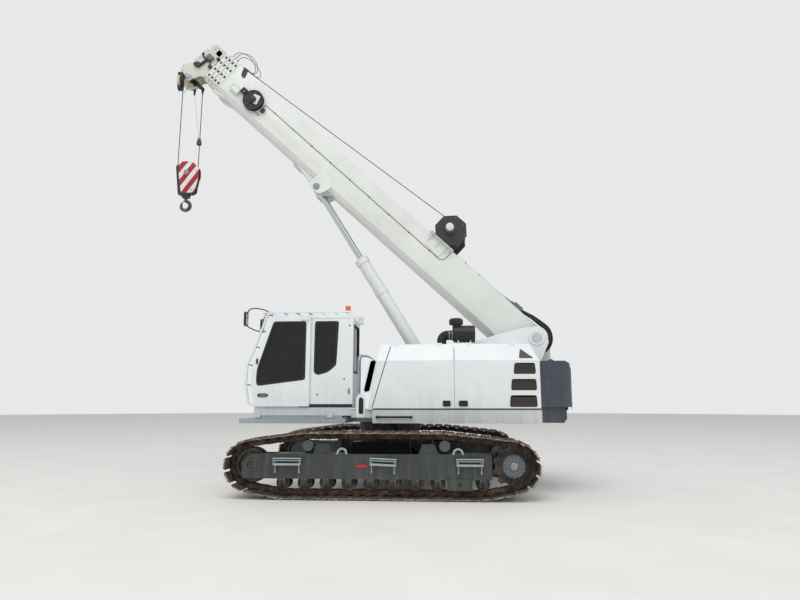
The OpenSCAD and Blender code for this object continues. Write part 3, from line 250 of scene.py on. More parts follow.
# %% [markdown]
# ### Rusty cast steel of the tracks
# Track steel leaves the foundry bare. It rusts to a dark brown and holds dried mud in its corners. Shoes
# are rolled and worn lighter, and their scraped ends shine grey. A coarse noise mixes four tones, and a
# fine one varies the roughness and drives the pitted bump.

# %% Rusty steel
def rusty(name, tones, rough, metal, size=1.0):
    """Coarse clouds pick among the tones, fine grains vary roughness and relief. Size scales the whole
    pattern."""
    material, tree, shader, place = new_material(name, Metallic=metal)
    coarse = add(tree, "TexNoise", {"Scale": 7.0 * size, "Detail": 8.0, "Roughness": 0.7}, Vector=place)
    colour = ramp(tree, coarse, list(zip((0.3, 0.45, 0.56, 0.7), tones)))
    grain = add(tree, "TexNoise", {"Scale": 90.0 * size, "Detail": 5.0, "Roughness": 0.7}, Vector=place)
    dull = add(tree, "MapRange", {"From Min": 0.3, "From Max": 0.7, "To Min": rough - 0.12,
        "To Max": rough + 0.15}, Value=grain)
    bump = add(tree, "Bump", {"Strength": 0.5, "Distance": 0.004}, Height=grain)
    join(tree, shader, Base_Color=colour, Roughness=dull, Normal=bump)
    return material


RUST = rusty("rusty cast steel", ("#231d19", "#3a2e26", "#553f31", "#776553"), 0.75, 0.15)
SHOE = rusty("worn rolled shoe steel", ("#2c2723", "#4b423a", "#6c6055", "#9b9184"), 0.65, 0.25)
SHOE_END = rusty("scraped shoe steel", ("#4d4740", "#6f685f", "#8e877d", "#b0a99e"), 0.6, 0.3)
WORN = rusty("worn forged steel", ("#2c2723", "#45403a", "#5b5148", "#79705f"), 0.6, 0.45)
ROLLER = rusty("greasy cast iron", ("#201d1a", "#35312d", "#4b443c", "#6d6355"), 0.6, 0.3)
HOOK_STEEL = rusty("forged hook steel", ("#332b26", "#4d4138", "#6c5d50", "#8d7f70"), 0.6, 0.3, 2.0)

# %% [markdown]
# ### Small finishes
# Hot-dip galvanised steel has a spangle of flat crystals 10 to 20 mm wide, so a Voronoi pattern varies its
# grey. Chrome on the piston rod is nearly a mirror. Hoses are black rubber, covers are
# textured black plastic. Tinted glass is clear with a grey body, and the block's stripes are paint on a
# steel plate. Cables, covers, reflectors and bolts are two tones of their own material and one noise.

# %% Galvanised steel
def galvanised():
    """Voronoi cells about 14 mm wide shift the grey, and a slow cloud dulls it."""
    material, tree, shader, place = new_material("galvanised steel", Metallic=0.55)
    cell = add(tree, "TexVoronoi", {"Scale": 70.0}, Vector=place).outputs["Color"]
    grey = add(tree, "SeparateColor", None, Color=cell).outputs["Red"]
    cloud = add(tree, "TexNoise", {"Scale": 3.0, "Detail": 4.0}, Vector=place)
    dull = add(tree, "MapRange", {"To Min": 0.42, "To Max": 0.62}, Value=cloud)
    join(tree, shader, Base_Color=ramp(tree, grey, [(0.0, "#9ba7ae"), (1.0, "#b4bfc5")]), Roughness=dull)
    return material


ZINC = galvanised()

# %% Chrome, rubber, plastic, rope
def fine(name, tones, rough, scale, strength, **sockets):
    """Two tones mixed by one noise, whose relief at the same scale gives the surface its touch."""
    material, tree, shader, place = new_material(name, **sockets)
    noise = add(tree, "TexNoise", {"Scale": scale, "Detail": 4.0, "Roughness": 0.6}, Vector=place)
    dull = add(tree, "MapRange", {"From Min": 0.3, "From Max": 0.7, "To Min": rough * 0.85,
        "To Max": rough * 1.2}, Value=noise)
    bump = add(tree, "Bump", {"Strength": strength, "Distance": 0.002}, Height=noise)
    join(tree, shader, Base_Color=ramp(tree, noise, [(0.3, tones[0]), (0.7, tones[1])]), Roughness=dull,
        Normal=bump)
    return material


CHROME = fine("hard chrome plate", ("#c9cdd0", "#d8dbde"), 0.14, 60.0, 0.02, Metallic=1.0)
STEEL = fine("machined steel", ("#8b8f92", "#a3a7aa"), 0.35, 120.0, 0.1, Metallic=0.9)
GREY_PART = fine("cast grey painted iron", ("#5c6163", "#71777a"), 0.5, 45.0, 0.25)
RUBBER = fine("black rubber hose", ("#141414", "#202020"), 0.6, 200.0, 0.2)
# Near-black matte colour for sheets that paint the deep shade of a recess.
SHADE_BLACK = fine("bituminous black coat", ("#050505", "#0b0b0b"), 0.9, 60.0, 0.1, Specular_IOR_Level=0.1)
PLASTIC = fine("moulded black plastic", ("#161718", "#212325"), 0.42, 400.0, 0.25)
TRIM = fine("cab trim plastic", ("#2b2d2f", "#393c3f"), 0.6, 300.0, 0.3)
FABRIC = fine("woven seat cloth", ("#3a332c", "#54483b"), 0.85, 260.0, 0.5)
ROPE = fine("steel wire rope", ("#2a2a2a", "#4a4a49"), 0.5, 400.0, 0.6, Metallic=0.6)
MESH = fine("perforated dark sheet", ("#4a4541", "#5d5651"), 0.6, 150.0, 0.4, Metallic=0.2)
RED = fine("red reflector plastic", ("#b3262a", "#c63236"), 0.3, 80.0, 0.1)
LENS = fine("lamp lens", ("#c8ccd0", "#dfe3e6"), 0.12, 90.0, 0.1, Metallic=0.3)
AMBER = fine("amber beacon plastic", ("#d9660a", "#f08a1c"), 0.2, 30.0, 0.05, IOR=1.49)
LAMP = fine("lamp housing plastic", ("#d4d7d8", "#dee0e1"), 0.35, 120.0, 0.1)
GOLD = fine("passivated yellow bolts", ("#a08a4a", "#b9a565"), 0.4, 90.0, 0.1, Metallic=0.8)
NYLON = fine("cast nylon sheave", ("#c9bfa2", "#dbd2b8"), 0.45, 35.0, 0.12)

# %% Tinted glass
def tinted():
    """Clear glass with a grey body. Faint wipe marks vary its roughness."""
    material, tree, shader, place = new_material("tinted safety glass", IOR=1.5, Transmission_Weight=0.9)
    noise = add(tree, "TexNoise", {"Scale": 5.0, "Detail": 3.0}, Vector=place)
    haze = add(tree, "MapRange", {"To Min": 0.015, "To Max": 0.05}, Value=noise)
    join(tree, shader, Base_Color=ramp(tree, noise, [(0.3, "#363d3c"), (0.7, "#424a49")]), Roughness=haze)
    return material


GLASS = tinted()

# %% Striped hook block
def stripes():
    """Bands rise at 54 degrees. A point's distance across them is x sin 54 - z cos 54, red for 120 mm of
    every 224 mm. The folded wave of that distance is cut hard at half the red width."""
    material, tree, shader, place = new_material("striped block paint", Roughness=0.4)
    lean = math.radians(54)
    shift = -(BLOCK[0] * math.sin(lean) - BLOCK[2] * math.cos(lean)) - 0.036 + 0.224 * 10
    parts = add(tree, "SeparateXYZ", None, Vector=place)
    across = add(tree, "Math", {"operation": "MULTIPLY_ADD"}, _0=parts.outputs["X"])
    across.inputs[1].default_value, across.inputs[2].default_value = math.sin(lean), shift
    total = add(tree, "Math", {"operation": "MULTIPLY_ADD"}, _0=parts.outputs["Z"], _2=across)
    total.inputs[1].default_value = -math.cos(lean)
    wave = add(tree, "Math", {"operation": "PINGPONG"}, _0=total)
    wave.inputs[1].default_value = 0.112
    cut = add(tree, "MapRange", {"From Min": 0.0585, "From Max": 0.0615}, Value=wave)
    noise = add(tree, "TexNoise", {"Scale": 22.0, "Detail": 6.0}, Vector=place)
    red = ramp(tree, noise, [(0.35, "#8f1c26"), (0.6, "#ad2630")])
    white = ramp(tree, noise, [(0.35, "#cfcac6"), (0.6, "#ebe8e6")])
    mixed = add(tree, "Mix", {"data_type": "RGBA"}, _0=cut, _6=red, _7=white)
    join(tree, shader, Base_Color=mixed.outputs[2])
    return material


STRIPES = stripes()

# %% [markdown]
# ## Shapes
# Every shape below is an array of points. A lathe turns a profile round an axis, a pipe carries a circle
# along a path, a plate stacks outlines that step in at both faces so that its edges are bevelled, and
# repeats are one template moved by arrays of places and angles.

# %% Mesh helpers
def piece(name, shape, material, body, smooth=True):
    """Puts a (points, faces) pair, or a list of pairs joined into one, into a new object that rides on a
    body, or on none. Its faces are turned outwards."""
    verts, faces = together(*shape) if isinstance(shape, list) else shape
    mesh = bpy.data.meshes.new(name)
    mesh.from_pydata(np.asarray(verts, float).reshape(-1, 3).tolist(), [],
        [list(map(int, f)) for f in faces])
    mesh.validate()
    work = bmesh.new()
    work.from_mesh(mesh)
    bmesh.ops.recalc_face_normals(work, faces=work.faces)
    work.to_mesh(mesh)
    work.free()
    mesh.materials.append(material)
    if smooth:
        mesh.shade_smooth()
        mesh.set_sharp_from_angle(angle=math.radians(38))
    else:
        mesh.shade_flat()
    thing = bpy.data.objects.new(name, mesh)
    scene.collection.objects.link(thing)
    if body:
        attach(thing, body)
    return thing


def full_turn(count):
    """Equal steps of angle all the way round."""
    return np.linspace(0, 2 * math.pi, count, endpoint=False)


def together(*parts):
    """Joins (points, faces) pairs into one pair, each part's face numbers moved on by the points before
    it."""
    verts, faces, start = [], [], 0
    for v, f in parts:
        v = np.asarray(v, float).reshape(-1, 3)
        verts.append(v)
        faces += [tuple(i + start for i in face) for face in f]
        start += len(v)
    return np.concatenate(verts), faces


def skin(rings, closed=True, caps=True):
    """Faces that join a stack of rings: ring i's point j, its neighbour j + 1, and the same two points on
    ring i + 1."""
    rings = np.asarray(rings, float)
    n, m = rings.shape[:2]
    i, j = np.meshgrid(np.arange(n - 1), np.arange(m if closed else m - 1), indexing="ij")
    k = (j + 1) % m
    faces = np.stack([i * m + j, i * m + k, (i + 1) * m + k, (i + 1) * m + j], -1).reshape(-1, 4).tolist()
    if caps:
        faces += [list(range(m))[::-1], [(n - 1) * m + q for q in range(m)]]
    return rings.reshape(-1, 3), faces


def boom_side(a, b, t):
    """Outline in u and v on the boom, depth along Y."""
    return on_boom(a, b, t)


def boom_across(a, b, t):
    """Outline in Y and v on the boom, depth along u."""
    return on_boom(t, b, a)


def side_plane(a, b, t):
    """Outline in X and Z, depth along Y."""
    return np.stack(np.broadcast_arrays(a, t, b), -1)


def front_plane(a, b, t):
    """Outline in Y and Z, depth along X."""
    return np.stack(np.broadcast_arrays(t, a, b), -1)


def top_plane(a, b, t):
    """Outline in X and Y, depth along Z."""
    return np.stack(np.broadcast_arrays(a, b, t), -1)


def miters(outline):
    """The outline turned anticlockwise, and for each corner the vector that moves both its edges inwards by
    one. It lies half-way between the two edge normals."""
    p = np.asarray(outline, float)
    area = np.sum(p[:, 0] * np.roll(p[:, 1], -1) - np.roll(p[:, 0], -1) * p[:, 1])
    p = p if area > 0 else p[::-1]
    e = np.roll(p, -1, 0) - p
    e /= np.linalg.norm(e, axis=1, keepdims=True)
    n = np.stack([-e[:, 1], e[:, 0]], 1)
    m = n + np.roll(n, 1, 0)
    return p, m / np.maximum(np.sum(m * n, axis=1, keepdims=True), 0.35)


def moved_in(outline, d):
    """Outline with every edge moved inwards by d."""
    p, m = miters(outline)
    return p + d * m


def plate(outline, t0, t1, bevel, to=side_plane):
    """A prism between the depths t0 and t1 whose outline steps in by the bevel at both faces. to(a, b, t)
    places the outline's coordinates a, b at depth t."""
    p, m = miters(outline)
    lines = [(bevel, t0), (0.0, t0 + bevel), (0.0, t1 - bevel), (bevel, t1)]
    return skin([to(*(p + m * a).T, t) for a, t in lines])


def oblong(a0, a1, b0, b1):
    """Outline of a rectangle. As a profile for a lathe it makes a bar, from radius a0 to a1 and height b0
    to b1."""
    return [(a0, b0), (a1, b0), (a1, b1), (a0, b1)]


def span(middle, half):
    """Both ends of a thickness, from its middle."""
    return middle - half, middle + half


def rounded(outline, radius, count=6):
    """Every corner becomes a curve: between the points radius away along both edges, the corner pulls it as
    a quadratic curve does, (1 - t)^2 a + 2 t (1 - t) corner + t^2 b."""
    p = np.asarray(outline, float)
    before, after = np.roll(p, 1, 0) - p, np.roll(p, -1, 0) - p
    lb, la = np.linalg.norm(before, axis=1, keepdims=True), np.linalg.norm(after, axis=1, keepdims=True)
    a = p + before / lb * np.minimum(radius, lb * 0.45)
    b = p + after / la * np.minimum(radius, la * 0.45)
    t = np.linspace(0, 1, count)[None, :, None]
    return ((1 - t) ** 2 * a[:, None] + 2 * t * (1 - t) * p[:, None] + t ** 2 * b[:, None]).reshape(-1, 2)


def ring_plate(outer, inner, t0, t1, to, bevel=0.003):
    """A flat frame between two outlines with the same number of points, its outer edge bevelled towards
    t0."""
    o, i = np.asarray(outer, float), np.asarray(inner, float)
    lines = [(moved_in(o, bevel), t0), (o, t0 + (bevel if t1 > t0 else -bevel)), (o, t1), (i, t1), (i, t0)]
    rings = np.stack([to(*q.T, t) for q, t in lines])
    n, m = rings.shape[:2]
    v, f = skin(np.concatenate([rings, rings[:1]]), caps=False)
    return v[:n * m], [tuple(k % (n * m) for k in face) for face in f]


def block(x0, x1, y0, y1, z0, z1, bevel):
    """A bevelled block between two corners."""
    return plate(oblong(x0, x1, z0, z1), y0, y1, bevel)


def lathe(profile, centre, axis, count, closed=False):
    """Points at distance r from the axis and height h along it, turned round in equal steps. closed joins
    the last profile point to the first, as on a ring."""
    p = np.asarray(profile, float)
    a = full_turn(count)
    r, h = p[:, 0:1], p[:, 1:2] + 0 * a
    parts = {"y": (r * np.cos(a), h, r * np.sin(a)), "x": (h, r * np.cos(a), r * np.sin(a)),
        "z": (r * np.cos(a), r * np.sin(a), h)}[axis]
    rings = np.stack(parts, -1) + np.asarray(centre, float)
    if closed:
        rings = np.concatenate([rings, rings[:1]])
    v, f = skin(rings, caps=not closed)
    if closed:
        m, n = count, len(p)
        f = [tuple(i % (n * m) for i in face) for face in f]
        v = v[:n * m]
    return v, f


def smooth_path(points, count):
    """A curve through the points: between two of them a cubic whose ends point along the line joining their
    neighbours."""
    p = np.asarray(points, float)
    q = np.concatenate([[2 * p[0] - p[1]], p, [2 * p[-1] - p[-2]]])
    s = np.linspace(0, len(p) - 1, count)
    i = np.minimum(s.astype(int), len(p) - 2)
    t = (s - i)[:, None]
    a, b, c, d = q[i], q[i + 1], q[i + 2], q[i + 3]
    return 0.5 * (2 * b + (c - a) * t + (2 * a - 5 * b + 4 * c - d) * t ** 2
        + (3 * b - a - 3 * c + d) * t ** 3)


def pipe(path, radius, sides):
    """A circle carried along a path. Its plane is square to the path, and each frame is the one before it
    turned the least amount, so the pipe doesn't twist."""
    p = np.asarray(path, float)
    t = np.gradient(p, axis=0)
    t /= np.linalg.norm(t, axis=1, keepdims=True)
    start = np.array([0.0, 1.0, 0.0]) if abs(t[0][1]) < 0.9 else np.array([1.0, 0.0, 0.0])
    n = np.zeros_like(p)
    last = start - t[0] * (start @ t[0])
    for k in range(len(p)):
        last = last - t[k] * (last @ t[k])
        last /= np.linalg.norm(last)
        n[k] = last
    b = np.cross(t, n)
    a = full_turn(sides)
    r = np.broadcast_to(np.asarray(radius, float), (len(p),))[:, None, None]
    rings = p[:, None] + r * (np.cos(a)[None, :, None] * n[:, None] + np.sin(a)[None, :, None] * b[:, None])
    return skin(rings)


def bolts(centres, radius, height, axis, sign):
    """Hexagon heads with a bevelled top at many places at once: three rings of six points, copied to every
    centre."""
    a = np.arange(6) * math.pi / 3
    rings = [(radius, 0.0), (radius, height * 0.8), (radius * 0.82, height)]
    one = np.concatenate([np.stack([r * np.cos(a), np.full(6, sign * h), r * np.sin(a)], -1)
        for r, h in rings])
    order = {"y": [0, 1, 2], "x": [1, 0, 2], "z": [0, 2, 1]}[axis]
    one = one[:, order]
    c = np.asarray(centres, float).reshape(-1, 1, 3)
    verts = (c + one[None]).reshape(-1, 3)
    quads = [(r * 6 + j, r * 6 + (j + 1) % 6, r * 6 + 6 + (j + 1) % 6, r * 6 + 6 + j) for r in range(2)
        for j in range(6)]
    faces = [tuple(i + 18 * k for i in f) for k in range(len(c))
        for f in quads + [tuple(range(5, -1, -1)), tuple(range(12, 18))]]
    return verts, faces

# %% [markdown]
# ## The welded and cast pieces of the frame
# Most rigid pieces already have their shape. A copy of each is merged, its flat areas are cleaned, and a
# small bevel is laid along every edge, because a welded or folded edge has a radius of a few millimetres
# that catches the light.

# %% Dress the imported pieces
def dress(node, material, bevel=0.004, others=()):
    """Merges a copy of a node's triangles, clears the lines inside flat areas and bevels edges sharper than
    28 degrees. others are (material, test) pairs: a test takes the faces' middles, measured from the
    slewing axis, and picks some."""
    source = frame["nodes"][node]
    mesh = source.data.copy()
    work = bmesh.new()
    work.from_mesh(mesh)
    bmesh.ops.remove_doubles(work, verts=work.verts, dist=2e-5)
    bmesh.ops.dissolve_limit(work, angle_limit=math.radians(0.6), verts=work.verts, edges=work.edges)
    work.to_mesh(mesh)
    work.free()
    mesh.materials.clear()
    mesh.materials.append(material)
    middles = np.empty(len(mesh.polygons) * 3)
    mesh.polygons.foreach_get("center", middles)
    middles = middles.reshape(-1, 3) - (SLEW, 0.0, 0.0)
    which = np.zeros(len(mesh.polygons), int)
    for number, (other, test) in enumerate(others, 1):
        mesh.materials.append(other)
        which[test(*middles.T)] = number
    mesh.polygons.foreach_set("material_index", which)
    mesh.shade_smooth()
    mesh.set_sharp_from_angle(angle=math.radians(28))
    thing = bpy.data.objects.new(node + "_dressed", mesh)
    scene.collection.objects.link(thing)
    if bevel:
        edge = thing.modifiers.new("edge", "BEVEL")
        edge.width = bevel
        edge.segments = 2
        edge.limit_method = "ANGLE"
        edge.angle_limit = math.radians(28)
        edge.use_clamp_overlap = True
        edge.harden_normals = True
    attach(thing, source["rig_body"])
    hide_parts(node)
    return thing


def stand_in(node, name, parts, material, body):
    """A more detailed piece that takes the place of a carried-over one."""
    thing = piece(name, parts, material, body)
    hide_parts(node)
    return thing


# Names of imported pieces, their finish and the width of their bevel.
FINISH = [
    ("carbody", DARK, 0.008), ("track_frame_left track_frame_right", FRAME, 0.004),
    ("rollers_left rollers_right", ROLLER, 0.004), ("tumblers", WORN, 0.004),
    ("final_drives", GREY_PART, 0.004), ("upper_frame", SILL, 0.005), ("counterweight", SLATE, 0.012),
    ("engine_block", DARK, 0.01), ("hood_left hood_right", WHITE, 0.003),
    ("flap_left_front flap_left_rear flap_right_front flap_right_rear", WHITE, 0.002),
    ("walkway", ZINC, 0.003), ("cab_shell", WHITE, 0.01), ("cab_glass", GLASS, 0.0),
    ("cab_door", WHITE, 0.008), ("door_glass", GLASS, 0.0), ("cab_guard", WHITE, 0.003),
    ("cab_fittings", PLASTIC, 0.002), ("lamps", LAMP, 0.006), ("boom_base", BOOM_WHITE, 0.004),
    ("winch_drum", DARK, 0.003), ("cable_reel", PLASTIC, 0.004),
    ("boom_section_2 boom_section_3 boom_section_4", BOOM_WHITE, 0.003), ("head_sheave", NYLON, 0.002),
    ("luff_barrel", BOOM_WHITE, 0.004), ("luff_rod", CHROME, 0.003), ("block_sheave", DARK, 0.002),
]

# %% [markdown]
# Some cast or welded pieces carry a second finish, such as the black latches on the flaps, the amber beacon
# on the lamps' node, or the bare steel pins in painted plates. The faces are picked by where their middles
# lie.

# %% Second finishes
def boom_uv(x, z):
    """Slewing-axis x and z turned into u along the boom and v above it."""
    dx, dz = x - (FOOT[0] - SLEW), z - FOOT[2]
    return dx * OUT[0] + dz * OUT[2], dx * UP[0] + dz * UP[2]


def latch_faces(x, y, z):
    """The latches' bars stand proud of the flap's sheet."""
    return (np.abs(y) > 1.509) & (z > 1.6) & (z < 1.73)


def tower_faces(x, y, z):
    """Everything welded on top of the deck is body white."""
    return z > 1.5505


def ring_faces(x, y, z):
    """The turning ring under the deck."""
    return (z < 1.3) & (np.hypot(x, y) < 0.62)


def rod_eye(x, y, z):
    """The luffing rod's eye, 0.13 m round its pin."""
    u, v = boom_uv(x, z)
    return np.hypot(u - 5.753, v + 0.71) < 0.13


def reel_bracket(x, y, z):
    """Bracket and stub that carry the cable reel."""
    u, v = boom_uv(x, z)
    return (y < -0.3715) & (u > 7.9) & (u < 8.6) & (v > -0.3) & (v < -0.15)


SECOND = {
    "upper_frame": [(WHITE, tower_faces), (DARK, ring_faces)],
    "boom_base": [(PLASTIC, reel_bracket)],
    "cab_fittings": [(WHITE, lambda x, y, z: z > 3.28)],
    "cab_door": [(PLASTIC, lambda x, y, z: (y < -1.5005) & (x < -2.43))],
    "lamps": [(AMBER, lambda x, y, z: (z > 3.473) & (np.abs(x + 0.75) < 0.15)),
              (PLASTIC, lambda x, y, z: (z > 3.44) & (z < 3.473) & (np.abs(x + 0.75) < 0.15)),
              (LENS, lambda x, y, z: (x > -0.4705) | (x < -2.4095))],
    "luff_rod": [(BOOM_WHITE, rod_eye)],
    "carbody": [(WORN, lambda x, y, z: (z > 1.03) & (np.hypot(x, y) < 0.66))],
}
for side, _ in SIDES:
    SECOND["rollers_" + side] = [(GREY_PART, lambda x, y, z: z > 0.8)]
    for end in ("_front", "_rear"):
        SECOND["flap_" + side + end] = [(PLASTIC, latch_faces)]
for names, material, bevel in FINISH:
    for name in names.split():
        dress(name, material, bevel, SECOND.get(name, ()))
print("dressed", sum(len(names.split()) for names, _, _ in FINISH), "pieces,", len(SECOND),
    "of them in two or more finishes")

# %% [markdown]
# ## Tracks
# Each track is an endless chain of forged links with a steel shoe bolted on every pair. The chain runs
# round idler, sprocket, top and bottom rollers. Its line is worked out as a belt over six wheels: an arc on
# each wheel, then the straight run that touches this wheel and the next. Pins stand at equal steps along
# that line, and one link and one shoe are copied to all of them.

# %% Chain line
WHEELS = np.array([(-2.35, 0.575, 0.37), (-1.33, 0.915, 0.164), (1.14, 0.915, 0.164), (2.35, 0.575, 0.37),
    (1.804, 0.27, 0.172), (-1.76, 0.27, 0.172)])
SHOES = 54


def chain_pins(wheels, count):
    """Clockwise belt seen from -Y. The outward normal of the run from wheel to wheel is the direction
    between them plus arccos of (radius difference / distance). Pins are read off at equal lengths."""
    nxt = np.roll(wheels, -1, 0)
    d = nxt[:, :2] - wheels[:, :2]
    gap = np.hypot(d[:, 0], d[:, 1])
    normal = np.arctan2(d[:, 1], d[:, 0]) + np.arccos((wheels[:, 2] - nxt[:, 2]) / gap)
    arc = np.mod(np.roll(normal, 1) - normal, 2 * math.pi)
    run = np.sqrt(gap ** 2 - (wheels[:, 2] - nxt[:, 2]) ** 2)
    legs = arc * wheels[:, 2] + run
    ends = np.concatenate([[0], np.cumsum(legs)])
    s = np.arange(count) * ends[-1] / count
    i = np.searchsorted(ends, s, side="right") - 1
    r = wheels[i, 2]
    along = s - ends[i]
    turn = np.minimum(along / r, arc[i])
    angle = np.roll(normal, 1)[i] - turn
    rest = np.maximum(0, along - arc[i] * r)
    x = wheels[i, 0] + r * np.cos(angle) + rest * np.sin(angle)
    z = wheels[i, 1] + r * np.sin(angle) - rest * np.cos(angle)
    return np.stack([x, z], -1)


PINS = chain_pins(WHEELS, SHOES)
NEXT = np.roll(PINS, -1, 0)
PITCH = float(np.mean(np.hypot(*(NEXT - PINS).T)))
ALONG = (NEXT - PINS) / np.hypot(*(NEXT - PINS).T)[:, None]
OUTWARD = np.stack([-ALONG[:, 1], ALONG[:, 0]], -1)
MIDDLE = (PINS + NEXT) / 2
print("chain pitch", round(PITCH * 1000, 1), "mm")


def on_links(part, y):
    """Copies a (points, faces) part to every link: its X goes along the link, Z outwards and Y across the
    track."""
    v, f = part
    v = np.asarray(v, float).reshape(-1, 3)
    xz = MIDDLE[:, None] + v[None, :, 0:1] * ALONG[:, None] + v[None, :, 2:3] * OUTWARD[:, None]
    yy = np.broadcast_to(v[None, :, 1:2] + y, (SHOES, len(v), 1))
    out = np.concatenate([xz[..., 0:1] + SLEW, yy, xz[..., 1:2]], -1).reshape(-1, 3)
    faces = [tuple(i + k * len(v) for i in face) for k in range(SHOES) for face in f]
    return out, faces

# %% [markdown]
# A shoe is a rolled steel section with three low bars across it, a turned-down front edge and a turned-up
# rear edge that overlap like roof tiles. Four bolts hold it to the two links. A link is a waisted bar with
# an eye at each end: the front eye stands outside the next link's rear eye, which gives the side view its
# saw-tooth of dark gaps.

# %% Shoe and link
HALF = PITCH / 2
shoe_line = np.array([(-HALF + 0.004, 0.049), (-HALF + 0.012, 0.046), (-HALF + 0.026, 0.058),
    (HALF - 0.03, 0.058), (HALF - 0.01, 0.052), (HALF - 0.004, 0.06), (HALF - 0.01, 0.076),
    (HALF - 0.024, 0.082), (0.066, 0.082), (0.06, 0.098), (0.048, 0.098), (0.042, 0.082), (0.008, 0.081),
    (0.004, 0.097), (-0.008, 0.097), (-0.012, 0.081), (-0.044, 0.081), (-0.05, 0.097), (-0.062, 0.097),
    (-0.07, 0.079), (-HALF + 0.01, 0.07)])
shoe = plate(shoe_line, -0.35, 0.35, 0.003)
heads = bolts([(x, y, 0.082) for x in (-0.03, 0.027) for y in (-0.088, -0.052, 0.052, 0.088)], 0.013, 0.012,
    "z", 1.0)


def link(side, lean):
    """One link: its outline is cut into two halves with an eye each, which are set sideways by the lean and
    joined by a block at the waist."""
    line = [(-HALF - 0.044, 0.0), (-HALF - 0.034, -0.036), (-HALF, -0.05), (-HALF + 0.04, -0.044),
        (-0.03, -0.056), (0.03, -0.056), (HALF - 0.04, -0.044), (HALF, -0.05), (HALF + 0.034, -0.036),
        (HALF + 0.044, 0.0), (HALF + 0.03, 0.036), (HALF - 0.028, 0.057), (0.05, 0.057), (0.03, 0.03),
        (0.006, 0.057), (-0.006, 0.057), (-0.03, 0.03), (-0.05, 0.057), (-HALF + 0.028, 0.057),
        (-HALF - 0.03, 0.036)]
    y = side * 0.07
    front_part = plate([(a, b) for a, b in line if a < 0.0], *span(y + lean, 0.013), 0.003)
    rear_part = plate([(a, b) for a, b in line if a > 0.0], *span(y - lean, 0.013), 0.003)
    waist = block(-0.055, 0.055, *span(y, 0.015), -0.052, 0.026, 0.003)
    return together(front_part, rear_part, waist)


def pin_and_bush():
    """Pins stand out of both links, and a thicker bush lies between them."""
    pin = lathe([(0.0, -0.106), (0.019, -0.106), (0.022, -0.102), (0.022, 0.102), (0.019, 0.106),
        (0.0, 0.106)], (-HALF, 0, 0), "y", 14)
    bush = lathe([(0.031, -0.052), (0.033, -0.048), (0.033, 0.048), (0.031, 0.052)], (-HALF, 0, 0), "y", 16)
    return together(pin, bush)


CHAIN = together(link(-1, 0.0125), link(1, -0.0125), pin_and_bush())
for side, y in (("left", -1.83), ("right", 1.83)):
    shoes = piece("track_shoes_" + side, on_links(together(shoe, heads), y), SHOE, "undercarriage", False)
    chain = piece("track_chain_" + side, on_links(CHAIN, y), RUST, "undercarriage", False)
    ends = [plate(shoe_line, q * 0.3502, q * 0.3512, 0.0003) for q in (-1, 1)]
    piece("shoe_ends_" + side, on_links(together(*ends), y), SHOE_END, "undercarriage", False)
    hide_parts("track_" + side)
    print("track", side, len(shoes.data.polygons) + len(chain.data.polygons), "faces")

# %% [markdown]
# ## Small parts of the undercarriage
# The travel drives are closed with a ring of hexagon bolts. Plugs close the frame's tap holes, and a red
# reflector sits on each side. A flat cover closes the beam's end, and a near-black sheet over it paints the
# shade of the recess where the frame is drawn up to the carbody. Galvanised rims guard the two lashing eyes.
# They are one template each, copied to every place at once.

# %% Drive bolts, plugs and reflectors
def ring_of(centre, radius, count, start=0.0):
    """Places at equal angles round a centre, in the side view: x and z from the cosine and sine."""
    a = start + np.arange(count) * 2 * math.pi / count
    return np.stack([centre[0] + radius * np.cos(a), np.full(count, centre[1]),
        centre[2] + radius * np.sin(a)], -1)


DRIVE = (2.35, 1.996, 0.575)
for side, s in SIDES:
    outer = at_slew(np.concatenate([ring_of((DRIVE[0], s * DRIVE[1], DRIVE[2]), 0.175, 16),
        ring_of((DRIVE[0], s * DRIVE[1], DRIVE[2]), 0.105, 8, 0.2)]))
    piece("drive_bolts_" + side, bolts(outer, 0.014, 0.013, "y", s), STEEL, "undercarriage")
    hub = lathe([(0.0, s * 2.008), (0.06, s * 2.008), (0.068, s * 2.002), (0.068, s * 1.995),
        (0.0, s * 1.995)], at_slew((DRIVE[0], 0, DRIVE[2])), "y", 32)
    piece("drive_cover_" + side, hub, STEEL, "undercarriage")
    teeth = at_slew(ring_of((DRIVE[0], s * 1.947, DRIVE[2]), 0.262, 22))
    piece("sprocket_bolts_" + side, bolts(teeth, 0.012, 0.016, "y", s), RUST, "undercarriage")
    spots = at_slew([(x, s * 2.0202, z)
        for x, z in ((-1.05, 0.62), (-1.05, 0.5), (0.62, 0.64), (1.05, 0.64), (1.62, 0.36), (-2.1, 0.66),
        (0.45, 0.44))])
    plugs = [lathe([(0.0, s * 0.006), (0.011, s * 0.006), (0.014, s * 0.003), (0.014, -s * 0.002),
        (0.0, -s * 0.002)], p, "y", 16) for p in spots]
    piece("frame_plugs_" + side, plugs, DARK, "undercarriage")
    t = full_turn(32)
    oval = np.stack([SLEW - 0.325 + 0.105 * np.cos(t), 0.573 + 0.03 * np.sin(t)], -1)
    piece("reflector_" + side, plate(oval, s * 2.0198, s * 2.03, 0.004), RED, "undercarriage")
    cover = at_slew(((-0.54, 0.63), (0.54, 0.63), (0.54, 0.779), (-0.54, 0.779)))
    piece("beam_cover_" + side, plate(cover, s * ON_FRAME, s * 2.0235, 0.001), FRAME, "undercarriage", False)
    # A near-black sheet 1 mm proud of the saddle. It is painted shade of the recess behind it.
    shade_outline = at_slew(((-0.556, 0.782), (0.556, 0.782), (0.516, 0.988), (-0.516, 0.988)))
    piece("saddle_shield_" + side, plate(shade_outline, s * ON_FRAME, s * 2.0225, 0.001), SHADE_BLACK, "undercarriage",
        False)
    t = np.radians(np.linspace(-12, 192, 25))
    arc = np.stack([np.cos(t), np.sin(t)], -1)
    eyes = [plate(np.concatenate([arc * 0.098, arc[::-1] * 0.062]) + (SLEW + x, 0.792), s * ON_FRAME,
        s * 2.03, 0.003) for x in (-0.69, 1.375)]
    piece("lashing_rims_" + side, eyes, ZINC, "undercarriage")
